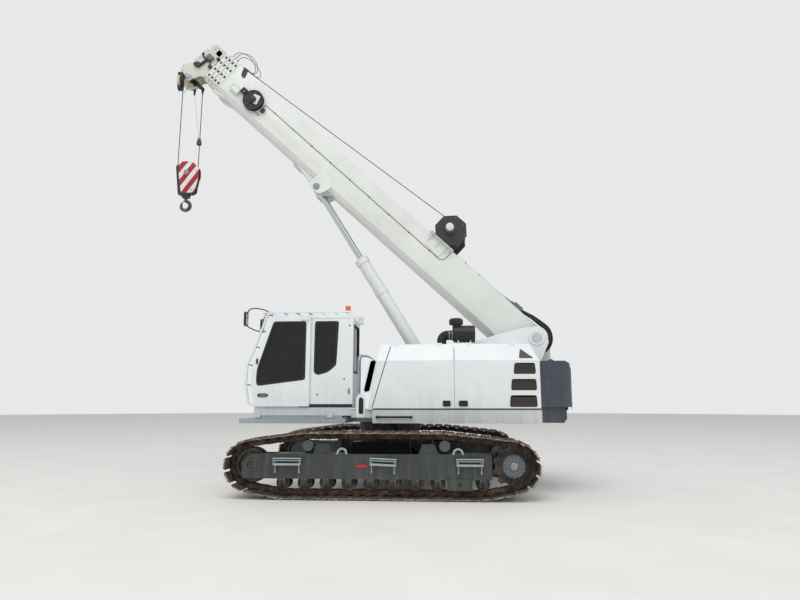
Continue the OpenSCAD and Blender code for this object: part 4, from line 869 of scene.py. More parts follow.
print("beam covers", np.ptp(np.array(cover)[:, 0]).round(3), "m wide, sprocket bolts", len(teeth),
    "on each side")

# %% [markdown]
# Each bottom and top roller runs on an axle with a round cap outside the frame, held by two bolts. The
# idler has a cast guard round its hub.

# %% Roller caps
def cap(x, y0, z, r, s):
    """A low domed disc, 16 mm thick: flat middle, a rounded shoulder and a straight edge."""
    t = 0.016
    return lathe([(0.0, y0 + s * t), (r * 0.55, y0 + s * t), (r * 0.86, y0 + s * t * 0.7),
        (r, y0 + s * t * 0.25), (r, y0 - s * 0.004), (0.0, y0 - s * 0.004)], at_slew((x, 0, z)), "y", 28)


for side, s in SIDES:
    low = [cap(-1.76 + 0.396 * k, s * ON_FRAME, 0.27, 0.043, s) for k in range(10)]
    piece("axle_caps_" + side, low, ROLLER, "undercarriage")
    heads_at = [(-1.76 + 0.396 * k + dx, s * ON_FRAME, 0.27 + 0.062) for k in range(10)
        for dx in (-0.035, 0.035)]
    piece("axle_bolts_" + side, bolts(at_slew(heads_at), 0.01, 0.01, "y", s), STEEL, "undercarriage")
    guard = lathe([(0.07, s * 2.021), (0.105, s * 2.021), (0.112, s * 2.028), (0.112, s * 2.034),
        (0.076, s * 2.034), (0.07, s * 2.028)], at_slew((-2.35, 0, 0.575)), "y", 40, True)
    piece("idler_guard_" + side, guard, FRAME, "undercarriage")

# %% [markdown]
# Steps hang beside the track frames: a rail over a slotted tread, a lower plate with a folded lip, and two
# legs on pads. The middle one was bent in use.

# %% Steps
def step(x, width, lean):
    """Boxes given as ranges along the step, out from the frame's face and up from its turning line, turned
    by the lean: x' = x cos + z sin, z' = z cos - x sin."""
    h = width / 2
    sizes = [(-h + 0.006, h - 0.006, 0.112, 0.13, 0.062, 0.072),
        (-h + 0.006, h - 0.006, 0.02, 0.042, 0.062, 0.072),
        (-h + 0.006, h - 0.006, 0.02, 0.13, 0.008, 0.016),
        (-h + 0.006, h - 0.006, 0.126, 0.134, -0.014, 0.022),
        (-h + 0.006, -0.208, 0.042, 0.112, 0.062, 0.072), (0.208, h - 0.006, 0.042, 0.112, 0.062, 0.072)]
    sizes += [(k * 0.062 + 0.022, k * 0.062 + 0.04, 0.042, 0.112, 0.062, 0.072) for k in range(-3, 3)]
    for s in (-1, 1):
        end, leg = s * (h - 0.01), s * (h - 0.034)
        sizes += [(end - 0.006, end + 0.006, 0.024, 0.132, -0.014, 0.104),
            (leg - 0.008, leg + 0.008, 0.072, 0.084, -0.15, 0.07)]
        sizes += [(leg - 0.014, leg + 0.014, 0.0003, 0.076, z - 0.012, z + 0.012) for z in (-0.132, 0.04)]
    v, faces = together(lathe(oblong(0.0, 0.013, -h, h), (0, -2.124, 0.104), "x", 16),
        *[block(a, b, -2.02 - d, -2.02 - c, e, f, 0.0015) for a, b, c, d, e, f in sizes])
    c, d = math.cos(math.radians(lean)), math.sin(math.radians(lean))
    return np.stack([v[:, 0] * c + v[:, 2] * d + x + SLEW, v[:, 1], v[:, 2] * c - v[:, 0] * d + 0.6],
        -1), faces


steps = [step(-1.66, 0.5, 0.0), step(0.055, 0.47, 2.5), step(1.575, 0.47, 0.0)]
stand_in("side_steps", "steps", steps + [(v * (1, -1, 1), f) for v, f in steps], ZINC, "undercarriage")

# %% [markdown]
# ## Housings
# Cooling air enters through louvres. Behind each hole lies a fine dark grille of slanting slats on a
# perforated sheet. The slats are one bevelled strip, copied down the hole and cut to its width at that
# height. A dark seam runs up the housing's front edge and over its leaning band, and a thin strip covers
# part of the joint between the two flaps.

# %% Louvre grilles
LOUVRES = ([(2.478, 2.41), (2.836, 2.41), (2.85, 2.222), (2.456, 2.222)],
    [(2.42, 2.11), (2.85, 2.11), (2.86, 1.92), (2.4, 1.92)],
    [(2.388, 1.808), (2.85, 1.808), (2.86, 1.612), (2.37, 1.612)])


def grille(corners, s):
    """A sheet on the flap and slats in front of it. A slat's ends lie on the lines through the left and the
    right corners, x0 + (x1 - x0) f, where f is its share of the height."""
    (ax, az), (bx, _), (cx, cz), (dx, _) = corners
    line = rounded(at_slew(corners), 0.03)
    parts = [plate(line, s * ON_FLAP, s * 1.51, 0.0004)]
    parts.append(ring_plate(moved_in(line, -0.01), line, s * 1.5135, s * ON_FLAP, side_plane, 0.002))
    for z in np.arange(cz + 0.018, az - 0.01, 0.021):
        f = (z - cz) / (az - cz)
        x0, x1 = dx + (ax - dx) * f + SLEW + 0.003, cx + (bx - cx) * f + SLEW - 0.003
        v, faces = block(x0, x1, s * 1.5102, s * 1.5148, -0.0045, 0.0045, 0.0012)
        v[:, 2] += z + (np.abs(v[:, 1]) - 1.5125) * -1.1
        parts.append((v, faces))
    return together(*parts)


for side, s, body in (("left", -1.0, "flap_lr"), ("right", 1.0, "flap_rr")):
    piece("louvre_grille_" + side, [grille(c, s) for c in LOUVRES], MESH, body, False)


def lean_plane(a, b, t):
    """Outline in X and Z on the leaning band: it moves in by 250 mm for every 335 mm above the bend."""
    side = np.sign(t)
    inward = (b - 2.47) * 0.25 / 0.335
    return np.stack([a, t - side * inward, b], -1)


for side, s, end in (("left", -1.0, "l"), ("right", 1.0, "r")):
    low, bend_at, high = at_slew([(-0.225, 1.59), (0.035, 2.463), (0.11, 2.765)])
    seam = [plate([low, bend_at, bend_at + (0.016, 0), low + (0.016, 0)], s * 1.5084, s * 1.5092, 0.0002),
        plate([bend_at + (0.002, 0.012), high, high + (0.016, 0), bend_at + (0.018, 0.012)], s * 1.5108,
        s * 1.512, 0.0002, lean_plane)]
    piece("front_seam_" + side, seam, RUBBER, "flap_%sf" % end, False)
    piece("seam_strip_" + side, plate(at_slew(oblong(1.3395, 1.3525, 1.59, 2.462)), s * 1.5045, s * 1.5092,
        0.0003), WHITE, "flap_%sr" % end, False)
for side, s, body in (("left", -1.0, "flap_lr"), ("right", 1.0, "flap_rr")):
    corner = at_slew([(2.556, 2.508), (2.598, 2.702), (2.834, 2.508)])
    piece("upper_grille_" + side, plate(rounded(corner, 0.03), s * 1.5108, s * 1.5135, 0.001, lean_plane),
        MESH, body, False)

# %% [markdown]
# A black rubber seal runs between the housings and the deck, and rivets hold the sill below it. The intake
# in front of the left housing is a slot covered by dark mesh, with a light frame.

# %% Seals and intake
for side, s in SIDES:
    seal = block(SLEW - 0.205, SLEW + 2.94, s * 1.5, s * 1.5045, 1.551, 1.572, 0.0015)
    piece("sill_seal_" + side, seal, RUBBER, "upper", False)
    studs = [(SLEW + x, s * ON_SILL, z) for x in (-0.15, 0.55, 1.25, 1.95, 2.65) for z in (1.345, 1.505)]
    piece("sill_rivets_" + side, bolts(studs, 0.007, 0.004, "y", s), SILL, "upper")
slot_line = [(-0.38, 1.895), (-0.25, 2.47), (-0.145, 2.47), (-0.272, 1.895)]
front = at_slew(slot_line)
piece("intake_mesh", plate(rounded(front, 0.03), -1.4855, -1.4815, 0.001), MESH, "upper", False)
piece("intake_frame", ring_plate(moved_in(rounded(front, 0.03), -0.026), rounded(front, 0.03), -1.4925,
    -1.482, side_plane, 0.002), WHITE, "upper")

# %% [markdown]
# Two bent tube rails stand in front of the left housing, where one climbs from the walkway. Between them
# and the cab a post has a rubber grommet for hoses. A rail is a circle carried along a curve through a few
# points.

# %% Rails and post
def rail(name, points, radius, material, body, count=40, sides=12):
    """A tube through points measured from the slewing axis."""
    return piece(name, pipe(smooth_path(at_slew(points), count), radius, sides), material, body)


for name, y in (("low", -1.4), ("rear", -1.1)):
    bend = ((-0.175, 2.46), (-0.3, 2.56), (-0.44, 2.585), (-0.5, 2.53), (-0.505, 2.2), (-0.505, 1.8),
        (-0.47, 1.6), (-0.42, 1.5495))
    rail("step_rail_" + name, [(x, y, z) for x, z in bend], 0.014, ZINC, "upper")
post = [(-0.53, 1.4), (-0.35, 1.4), (-0.36, 1.78), (-0.4, 1.85), (-0.48, 1.85), (-0.53, 1.76)]
piece("post_cover", plate(rounded(at_slew(post), 0.03), -1.4755, -1.44, 0.004), WHITE, "upper")
hole = rounded(at_slew([(-0.475, 1.47), (-0.385, 1.47), (-0.385, 1.75), (-0.44, 1.79), (-0.475, 1.75)]),
    0.03)
piece("post_grommet", plate(hole, -1.4785, -1.4735, 0.002), RUBBER, "upper")

# %% [markdown]
# ## Counterweight fittings
# The ballast slabs are cast steel. Two lifting eyes stand in their top, a lamp sits low at each rear corner
# and a thin marker pole stands behind the left one.

# %% Counterweight fittings
for side, s in SIDES:
    base = block(SLEW + 3.395, SLEW + 3.442, s * 1.3, s * 1.4, 1.545, 1.605, 0.006)
    piece("tail_lamp_" + side, base, PLASTIC, "upper")
    glass = lathe([(0.0, 0.012), (0.018, 0.012), (0.026, 0.007), (0.028, 0.0), (0.0, 0.0)],
        at_slew((3.441, s * 1.35, 1.575)), "x", 24)
    piece("tail_lamp_glass_" + side, glass, LENS if s < 0 else RED, "upper")
    eye = pipe(at_slew([(3.24 + 0.055 * math.cos(a), s * 0.95, 2.452 + 0.06 * math.sin(a))
        for a in np.linspace(0, math.pi, 14)]), 0.014, 10)
    piece("ballast_eye_" + side, eye, SLATE, "upper")
rail("marker_pole", [(3.534, -1.3, 1.56), (3.536, -1.3, 1.8), (3.538, -1.3, 2.05), (3.54, -1.3, 2.32)],
    0.007, PLASTIC, "upper", 16, 10)
piece("pole_clips", [block(SLEW + 3.524, SLEW + 3.546, -1.312, -1.288, *span(z, 0.014), 0.003)
    for z in (1.66, 2.1)], PLASTIC, "upper")

# %% [markdown]
# ## Air cleaner
# The housing is blown plastic with bands round it. A wire-reinforced rubber elbow takes the clean air down,
# and hose clips hold both ends. The elbow is a circle carried along a quarter circle with a few rings
# standing out.

# %% Air cleaner details
AIR = np.array([SLEW, -0.88, 2.805])
a = np.linspace(0, math.pi / 2, 34)
bend = np.stack([AIR[0] + 1.225 - 0.115 * np.sin(a), np.full(34, AIR[1]),
    AIR[2] + 0.097 + 0.115 * np.cos(a)], -1)
bend = np.concatenate([[(AIR[0] + 1.335, AIR[1], AIR[2] + 0.212)], bend,
    [(AIR[0] + 1.11, AIR[1], AIR[2] + 0.014)]])
waves = 0.094 + 0.003 * np.cos(np.arange(len(bend)) * math.pi / 2)
profile = [(0.0, 1.33), (0.136, 1.33), (0.14, 1.345), (0.158, 1.345), (0.17, 1.357), (0.17, 1.47),
    (0.176, 1.472), (0.176, 1.493), (0.17, 1.495), (0.17, 1.64), (0.176, 1.642), (0.176, 1.663),
    (0.17, 1.665), (0.17, 1.763), (0.158, 1.775), (0.0, 1.775)]
cap_line = [(0.0, 0.35), (0.065, 0.35), (0.065, 0.421), (0.128, 0.42), (0.14, 0.44), (0.14, 0.516),
    (0.11, 0.548), (0.0, 0.556)]
stand_in("air_cleaner", "air_body",
    [lathe(profile, AIR + (0, 0, 0.235), "x", 64), lathe(cap_line, AIR + (1.402, 0, 0), "z", 56)], PLASTIC,
    "upper")
foot = [(AIR[1] - 0.12, AIR[2] + 0.0003), (AIR[1] + 0.12, AIR[2] + 0.0003), (AIR[1] + 0.09, AIR[2] + 0.15),
    (AIR[1] - 0.09, AIR[2] + 0.15)]
piece("air_feet", [plate(foot, *span(SLEW + x, 0.012), 0.003, front_plane) for x in (1.44, 1.68)], WHITE,
    "upper")
piece("air_flange", lathe([(0.0, 0.0003), (0.096, 0.0003), (0.096, 0.012), (0.0945, 0.014), (0.0, 0.014)],
    AIR + (1.11, 0, 0), "z", 40), PLASTIC, "upper")
piece("air_elbow", pipe(bend, waves, 32), RUBBER, "upper")
clips = [lathe([(0.0955, x - 0.009), (0.0995, x - 0.007), (0.0995, x + 0.007), (0.0955, x + 0.009)],
    AIR + (0, 0, 0.212), "x", 40, True) for x in (1.262, 1.318)]
piece("air_clips", clips, STEEL, "upper")
bands = [lathe([(0.1708, x - 0.012), (0.1745, x - 0.01), (0.1745, x + 0.01), (0.1708, x + 0.012)],
    AIR + (0, 0, 0.235), "x", 56, True) for x in (1.4, 1.56, 1.72)]
piece("air_bands", bands, PLASTIC, "upper")
piece("cap_slots", lathe([(0.0655, 0.356), (0.074, 0.36), (0.074, 0.412), (0.0655, 0.416)],
    AIR + (1.402, 0, 0), "z", 36, True), MESH, "upper")

# %% [markdown]
# ## Tower and foot pin
# Hoses come up
# through the middle of the machine, pass behind the foot pin in a wide bow, so that they can follow the
# boom, and lie along its top. Each is one tube that rides on no body.

# %% Hoses round the foot pin
def polar(angle, radius, y):
    """Point round the foot pin, its angle measured from the rear upwards."""
    return FOOT + np.array([radius * math.cos(math.radians(angle)), y,
        radius * math.sin(math.radians(angle))])


def tube_length(path):
    """Sum of the distances between neighbouring points."""
    return float(np.sum(np.linalg.norm(np.diff(path, axis=0), axis=1)))


def hose(name, points, radius, material, body, count, sides):
    """A hose or cable: a tube through the points that rides on the body."""
    path = smooth_path(points, count)
    thing = piece(name, pipe(path, radius, sides), material, body)
    return thing


for number, (y, grow) in enumerate(((-0.445, 0.0), (-0.395, 0.052), (-0.345, 0.0), (-0.295, 0.052),
        (0.445, 0.0), (0.395, 0.052), (0.345, 0.0), (0.295, 0.052))):
    r = 0.28 + grow
    bow = ((-98, r + 0.02), (-80, r), (-60, r), (-35, r), (-10, r), (18, r), (42, r + 0.005))
    points = [polar(angle, radius, y) for angle, radius in bow]
    points += boom_points(((0.16, r - 0.006, y), (0.34, 0.272 + grow * 0.7, y * 0.93),
        (0.5, 0.256 + grow * 0.4, y * 0.8), (0.66, 0.2455, y * 0.72)))
    path = smooth_path(points, 44)
    thing = piece("foot_hose_%d" % (number + 1), pipe(path, 0.0235, 12), RUBBER, None)
    tuple(on_boom(0.15, 0.3, 0.0))
    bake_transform(thing)
print("hoses about", round(tube_length(path), 2), "m long")

# %% [markdown]
# The flaps' latches are black trays with a paddle. A grab rail runs along the frame's sill. The tower plates
# end in a disc round the boom's foot pin, which keeper plates hold with two bolts each, and a bracket stands
# behind the boom's foot.

# %% Latches, grab rail and tower ends
for side, s in (("l", -1.0), ("r", 1.0)):
    for end, x in (("f", 1.12), ("r", 1.42)):
        wide = 0.14 + 0.02 * (end == "r")
        tray = ring_plate(at_slew(rounded(oblong(x, x + wide, 1.612, 1.718), 0.008)),
            at_slew(rounded(oblong(x + 0.012, x + wide - 0.012, 1.624, 1.706), 0.006)), s * 1.522,
            s * ON_FLAP, side_plane, 0.002)
        back = block(x + SLEW + 0.008, x + wide + SLEW - 0.008, s * ON_FLAP, s * 1.512, 1.62, 1.71, 0.001)
        paddle = block(x + SLEW - 0.001, x + wide + SLEW + 0.001, s * 1.518, s * 1.5375, 1.638, 1.692, 0.004)
        piece("latch_%s%s" % (side, end), [tray, back, paddle], PLASTIC, "flap_%s%s" % (side, end))
rods = [lathe([(0.0, -0.137), (0.017, -0.137), (0.019, -0.134), (0.019, 0.534), (0.017, 0.537),
    (0.0, 0.537)], at_slew((0, -1.548, 1.415)), "x", 20)]
for x in (-0.12, 0.52):
    rods.append(lathe([(0.0, -1.548), (0.017, -1.548), (0.017, -1.508), (0.028, -1.508), (0.028, -ON_SILL),
        (0.0, -ON_SILL)], at_slew((x, 0, 1.415)), "y", 24))
piece("sill_rail", rods, PLASTIC, "upper")
discs, keepers = [], []
for s in (-1.0, 1.0):
    discs.append(lathe([(0.0745, s * 0.4995), (0.226, s * 0.4995), (0.23, s * 0.503), (0.23, s * 0.531),
        (0.226, s * 0.5345), (0.162, s * 0.5345), (0.162, s * 0.551), (0.158, s * 0.5545),
        (0.0745, s * 0.5545)], (FOOT[0], 0, FOOT[2]), "y", 72, True))
    keepers.append(lathe([(0.0, s * 0.568), (0.1, s * 0.568), (0.104, s * 0.564), (0.104, s * 0.5547),
        (0.0, s * 0.5547)], (FOOT[0], 0, FOOT[2]), "y", 48))
    keepers.append(bolts([(FOOT[0] + q * 0.07, s * 0.5681, FOOT[2] - q * 0.03) for q in (-1, 1)], 0.016,
        0.011, "y", s))
piece("tower_ends", discs, WHITE, "upper")
piece("foot_pin_keepers", keepers, SILL, "upper")
t = np.radians(np.linspace(-10, -102, 20))
line = at_slew([(2.885, 2.33), (3.34, 2.49), (3.37, 2.52), (3.37, 2.96), (3.3, 2.96)])
round_pin = np.stack([FOOT[0] + 0.247 * np.cos(t), FOOT[2] + 0.247 * np.sin(t)], -1)
line = np.concatenate([line, round_pin, at_slew([(2.975, 2.735), (2.885, 2.64)])])
parts = [plate(line, *span(s * 0.2, 0.01), 0.003) for s in (-1, 1)]
parts.append(block(SLEW + 3.352, SLEW + 3.366, -0.189, 0.189, 2.56, 2.93, 0.003))
parts.append(block(SLEW + 2.87, SLEW + 2.889, -0.499, 0.499, 2.325, 2.64, 0.003))
piece("foot_bracket", parts, WHITE, "upper")

# %% [markdown]
# ## Cab
# Each pane is glued in, and a black rubber edge with rounded corners covers the glue. The rubber is a flat
# frame between two outlines: the window's own line moved outwards, and the same line moved inwards, both
# with rounded corners.

# %% Window rubbers
DOOR_WINDOW = [(-2.155, 3.24), (-1.52, 3.24), (-1.52, 2.12), (-2.44, 2.005), (-2.465, 2.09), (-2.455, 2.32),
    (-2.3, 2.8)]
SIDE_WINDOW = [(-1.35, 3.245), (-0.89, 3.245), (-0.93, 2.4), (-1.08, 2.27), (-1.28, 2.21), (-1.355, 2.26)]
INNER_WINDOW = [(-2.2, 3.2), (-0.76, 3.2), (-0.76, 2.2), (-2.4, 2.1), (-2.44, 2.33)]


def window_rubber(name, line, t_out, t_in, body, to=side_plane, shift=SLEW):
    """A frame whose outer edge lies 8 mm outside the hole and whose inner edge lies 34 mm inside it."""
    line = np.asarray(line, float) + (shift, 0)
    outer, inner = rounded(moved_in(line, -0.008), 0.063, 7), rounded(moved_in(line, 0.034), 0.09, 7)
    return piece(name, ring_plate(outer, inner, t_out, t_in, to, 0.003), RUBBER, body)


window_rubber("door_window_rubber", DOOR_WINDOW, -1.504, -1.487, "door")
window_rubber("side_window_rubber", SIDE_WINDOW, -1.448, -1.431, "upper")
window_rubber("inner_window_rubber", INNER_WINDOW, -0.516, -0.533, "upper")
window_rubber("rear_window_rubber", oblong(-1.354, -0.61, 2.25, 3.2), SLEW - 0.5965, SLEW - 0.618, "upper",
    front_plane, 0.0)
window_rubber("roof_window_rubber", oblong(SLEW - 2.05, SLEW - 1.35, -1.324, -0.64), 3.3785, 3.356, "upper",
    top_plane, 0.0)

# %% [markdown]
# The windscreen has no rubber outside: a printed black band lies under the glass along its edges. The wiper
# is a thin arm with a blade on it, parked along the left pillar.

# %% Windscreen band and wiper
SCREEN = np.array([(-2.5215, 1.795), (-2.584, 2.03), (-2.564, 2.36), (-2.404, 2.8), (-2.232, 3.285)])


def screen_band(y0, y1):
    """A strip that follows the windscreen's own line, moved out by 4 mm along the line's normal."""
    line = smooth_path(np.c_[SCREEN, np.zeros(5)], 26)[:, :2]
    t = np.gradient(line, axis=0)
    t /= np.linalg.norm(t, axis=1, keepdims=True)
    out = line + 0.004 * np.stack([-t[:, 1], t[:, 0]], -1)
    rings = [np.stack([q[:, 0] + SLEW, np.full(26, y), q[:, 1]], -1)
        for q, y in ((out, y0), (out, y1), (line + (0.002, 0), y1), (line + (0.002, 0), y0))]
    v, f = skin(rings + rings[:1], closed=False, caps=False)
    n = 4 * 26
    sides = [(0, 26, 52, 78), (25, 103, 77, 51)]
    return v[:n], [tuple(k % n for k in face) for face in f] + sides


piece("screen_bands", [screen_band(-1.374, -1.335), screen_band(-0.629, -0.59)], RUBBER, "upper")
arm = at_slew([(-2.56, -1.2, 1.98), (-2.606, -1.24, 2.1), (-2.606, -1.28, 2.36), (-2.52, -1.3, 2.62)])
blade = at_slew([(-2.609, -1.28, 2.04), (-2.607, -1.29, 2.2), (-2.596, -1.295, 2.36), (-2.54, -1.3, 2.53),
    (-2.476, -1.305, 2.7), (-2.412, -1.31, 2.88)])
piece("wiper", [pipe(smooth_path(arm, 24), 0.007, 8), pipe(smooth_path(blade, 30), 0.009, 8),
    block(SLEW - 2.63, SLEW - 2.56, -1.225, -1.175, 1.95, 2.01, 0.008)], PLASTIC, "upper")

# %% [markdown]
# Small black caps close the cab's screw holes, and oval vents let air out. All lie flat on the sheet with a
# low rounded rim. A hanger carries the sliding door from its rail, and light skirts close the gap under the
# cab.

# %% Vents and plugs
def oval_vent(name, x, z, w, h, y, body):
    """A rim, a dished middle and five bars."""
    t = full_turn(36)
    rims = [(1.0, y + 0.003), (1.0, y - 0.003), (0.9, y - 0.007), (0.82, y - 0.006), (0.78, y - 0.001),
        (0.78, y + 0.002)]
    rings = [np.stack([SLEW + x + w * k * np.cos(t), np.full(36, d), z + h * k * np.sin(t)], -1)
        for k, d in rims]
    parts = [skin(rings)]
    for q in np.linspace(-0.6, 0.6, 5):
        half = w * 0.8 * math.sqrt(1 - q * q)
        parts.append(block(*span(SLEW + x, half), y - 0.005, y - 0.0005, *span(z + h * q * 0.8, 0.003),
            0.001))
    return piece(name, parts, RUBBER, body)


oval_vent("door_vent", -2.33, 1.82, 0.108, 0.042, -1.5, "door")
oval_vent("corner_vent", -0.672, 1.895, 0.02, 0.06, -CAB_SIDE, "upper")
dots = [(-1.285, 1.835), (-0.765, 2.13), (-0.672, 3.165)]
piece("cab_plugs", [lathe([(0.0, -0.006), (0.01, -0.006), (0.016, -0.003), (0.016, 0.003), (0.0, 0.003)],
    at_slew((x, -CAB_SIDE, z)), "y", 18) for x, z in dots], PLASTIC, "upper")

piece("door_hanger", block(SLEW - 1.6, SLEW - 1.465, -1.536, -ON_SILL, 3.262, 3.374, 0.008), WHITE, "door")
skirt = [block(SLEW - 2.5, SLEW - 0.62, -1.4515, -1.4475, 1.44, 1.59, 0.001),
    block(SLEW - 0.619, SLEW - 0.215, -1.4515, -1.4475, 1.4, 1.549, 0.001)]
piece("cab_skirt", skirt, SILL, "upper")

# %% [markdown]
# Mirrors hang on black tubes at the front corners of the guard. A mirror is a shallow dished shell with the
# glass in it.

# %% Mirrors
MIRROR_GLASS = fine("mirror glass", ("#a9b3ba", "#b8c2c8"), 0.05, 12.0, 0.0, Metallic=1.0)
left_arm = [(-2.3, -1.4, 3.452), (-2.4, -1.47, 3.49), (-2.54, -1.56, 3.5), (-2.62, -1.62, 3.46),
    (-2.66, -1.63, 3.36)]
lower_arm = [(-2.46, -1.42, 3.06), (-2.54, -1.52, 3.08), (-2.64, -1.62, 3.14), (-2.665, -1.63, 3.22)]
right_arm = [(-2.3, -0.59, 3.452), (-2.42, -0.59, 3.49), (-2.56, -0.58, 3.5), (-2.64, -0.57, 3.44),
    (-2.66, -0.57, 3.36)]
arms = together(*[pipe(smooth_path(at_slew(p), 28), 0.011, 10) for p in (left_arm, lower_arm, right_arm)])
piece("mirror_arms", arms, PLASTIC, "upper")
for side, y in (("left", -1.63), ("right", -0.57)):
    face = rounded(oblong(*span(y, 0.085), 3.14, 3.42), 0.04)
    shell = [(0.02, -2.7), (0.004, -2.694), (0.0, -2.678), (0.0, -2.655), (0.008, -2.652)]
    rings = [front_plane(*moved_in(face, d).T, x + SLEW) for d, x in shell]
    piece("mirror_shell_" + side, skin(rings), PLASTIC, "upper")
    inner = moved_in(face, 0.012)
    piece("mirror_glass_" + side, skin([front_plane(*inner.T, SLEW + x) for x in (-2.653, -2.6495)]),
        MIRROR_GLASS, "upper")

# %% [markdown]
# ## Inside the cab
# The seat is moulded foam under woven cloth: crowned in the middle, drawn in along its sewn edges, with
# bolsters at both sides. Each cushion is a closed surface whose thickness follows (1 - s^4)^(1/3) across
# both ways, with two seams pressed in. Plastic consoles, levers and a screen stand round it.

# %% Driver's seat
def cushion(name, centre, size, tilt, seams, body):
    """A pad lying in its own x, y with thickness z. The fullness falls to the edges, seams are narrow
    valleys exp(-(d / 8 mm)^2) along lines of equal y, and the whole is turned by tilt about the Y axis."""
    s = np.linspace(-1, 1, 33)
    X, Y = np.meshgrid(s, s, indexing="ij")
    full = ((1 - np.abs(X) ** 5) * (1 - np.abs(Y) ** 5)) ** (1 / 3)
    crown = full * (0.8 + 0.2 * (1 - X ** 2)) + 0.16 * np.exp(-((np.abs(Y) - 0.78) / 0.16) ** 2) * full
    valley = sum(np.exp(-((Y * size[1] / 2 - q) / 0.008) ** 2) for q in seams)
    top = size[2] * (0.5 * crown - 0.05 * valley * full)
    low = -size[2] * 0.5 * full * 0.55
    edge = 0.035 * np.stack([X * np.abs(Y) ** 6, Y * np.abs(X) ** 6])
    px, py = X * size[0] / 2 - edge[0] * size[0], Y * size[1] / 2 - edge[1] * size[1]
    c, k = math.cos(tilt), math.sin(tilt)

    def placed(h):
        return np.stack([centre[0] + SLEW + px * c + h * k, centre[1] + py, centre[2] - px * k + h * c], -1)
    n = 33
    v = np.concatenate([placed(top).reshape(-1, 3), placed(low).reshape(-1, 3)])
    i, j = np.meshgrid(np.arange(n - 1), np.arange(n - 1), indexing="ij")
    q = np.stack([i * n + j, (i + 1) * n + j, (i + 1) * n + j + 1, i * n + j + 1], -1).reshape(-1, 4)
    faces = q.tolist() + (q[:, ::-1] + n * n).tolist()
    rim = np.concatenate([np.arange(n - 1) * n, (n - 1) * n + np.arange(n - 1),
        (n * np.arange(n - 1, 0, -1) + n - 1), np.arange(n - 1, 0, -1)])
    nxt = np.roll(rim, -1)
    faces += np.stack([rim, nxt, nxt + n * n, rim + n * n], -1).tolist()
    thing = piece(name, (v, faces), FABRIC, body)
    if "sharp_edge" in thing.data.attributes:
        thing.data.attributes.remove(thing.data.attributes["sharp_edge"])
    return thing


MID = -0.982
cushion("seat_cushion", (-1.3, MID, 2.16), (0.5, 0.48, 0.15), math.radians(4), (-0.13, 0.13), "upper")
cushion("seat_back", (-1.02, MID, 2.53), (0.64, 0.46, 0.13), math.radians(-101), (-0.12, 0.12), "upper")
cushion("head_rest", (-0.925, MID, 2.935), (0.17, 0.27, 0.1), math.radians(-100), (), "upper")
consoles = []
for s in (-1, 1):
    line = rounded(at_slew([(-1.75, 1.642), (-1.78, 2.2), (-1.72, 2.28), (-1.15, 2.28), (-1.15, 1.642)]),
        0.05)
    consoles.append(plate(line, *span(MID + s * 0.33, 0.058), 0.012))
front = rounded(at_slew([(-2.425, 1.642), (-2.435, 2.06), (-2.3, 2.34), (-2.245, 2.34), (-2.262, 1.642)]),
    0.04)
consoles.append(plate(front, *span(MID, 0.108), 0.01))
base = at_slew([(-1.48, 1.642), (-1.46, 1.98), (-1.52, 2.06), (-1.08, 2.06), (-0.98, 1.98), (-0.98, 1.642)])
consoles.append(plate(rounded(base, 0.04), *span(MID, 0.2), 0.015))
shell_back = at_slew([(-1.0, 2.14), (-0.975, 2.14), (-0.865, 2.83), (-0.895, 2.85), (-0.955, 2.5)])
consoles.append(plate(shell_back, *span(MID, 0.2), 0.008))
room = piece("cab_consoles", consoles, TRIM, "upper")
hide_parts("cab_interior")
levers = []
for s in (-1, 1):
    at = at_slew([(-1.69, MID + s * 0.33, 2.275), (-1.695, MID + s * 0.33, 2.34),
        (-1.69, MID + s * 0.33, 2.4)])
    levers.append(pipe(smooth_path(at, 12), 0.01, 10))
    levers.append(lathe([(0.0, 2.498), (0.014, 2.494), (0.024, 2.478), (0.026, 2.45), (0.02, 2.41),
        (0.013, 2.39), (0.0, 2.388)], at_slew((-1.69, MID + s * 0.33, 0)), "z", 20))
piece("control_levers", levers, RUBBER, "upper")
screen_line = rounded(at_slew([(-2.34, 2.345), (-2.3, 2.345), (-2.255, 2.545), (-2.295, 2.545)]), 0.012)
piece("display_case", plate(screen_line, MID + 0.12, MID + 0.36, 0.006), PLASTIC, "upper")
piece("display_stalk", pipe(smooth_path(at_slew([(-2.3, MID + 0.1, 2.2), (-2.31, MID + 0.2, 2.26),
    (-2.315, MID + 0.24, 2.36)]), 14), 0.016, 10), PLASTIC, "upper")
pedal_parts = [block(SLEW - 2.2, SLEW - 2.08, *span(MID + y, 0.045), 1.66, 1.685, 0.006)
    for y in (-0.14, 0.14)]
piece("pedals", pedal_parts, RUBBER, "upper")

# %% [markdown]
# ## Boom fittings of steel plate
# The winch sits on flanges along the boom's top corners, between eight-sided side plates tied together
# outside the drum. A saddle of plates goes round the luffing cylinder's eye, and a thicker lip ends the
# boom's mouth below.

# %% Winch frame
WU, WV = 2.844, 0.52


def rod_y(u, v, r, y0, y1, count=32):
    """A round bar across the boom with small bevels at both ends."""
    return lathe([(0.0, y0), (r - 0.002, y0), (r, y0 + 0.002), (r, y1 - 0.002), (r - 0.002, y1), (0.0, y1)],
        on_boom(u, v, 0.0), "y", count)


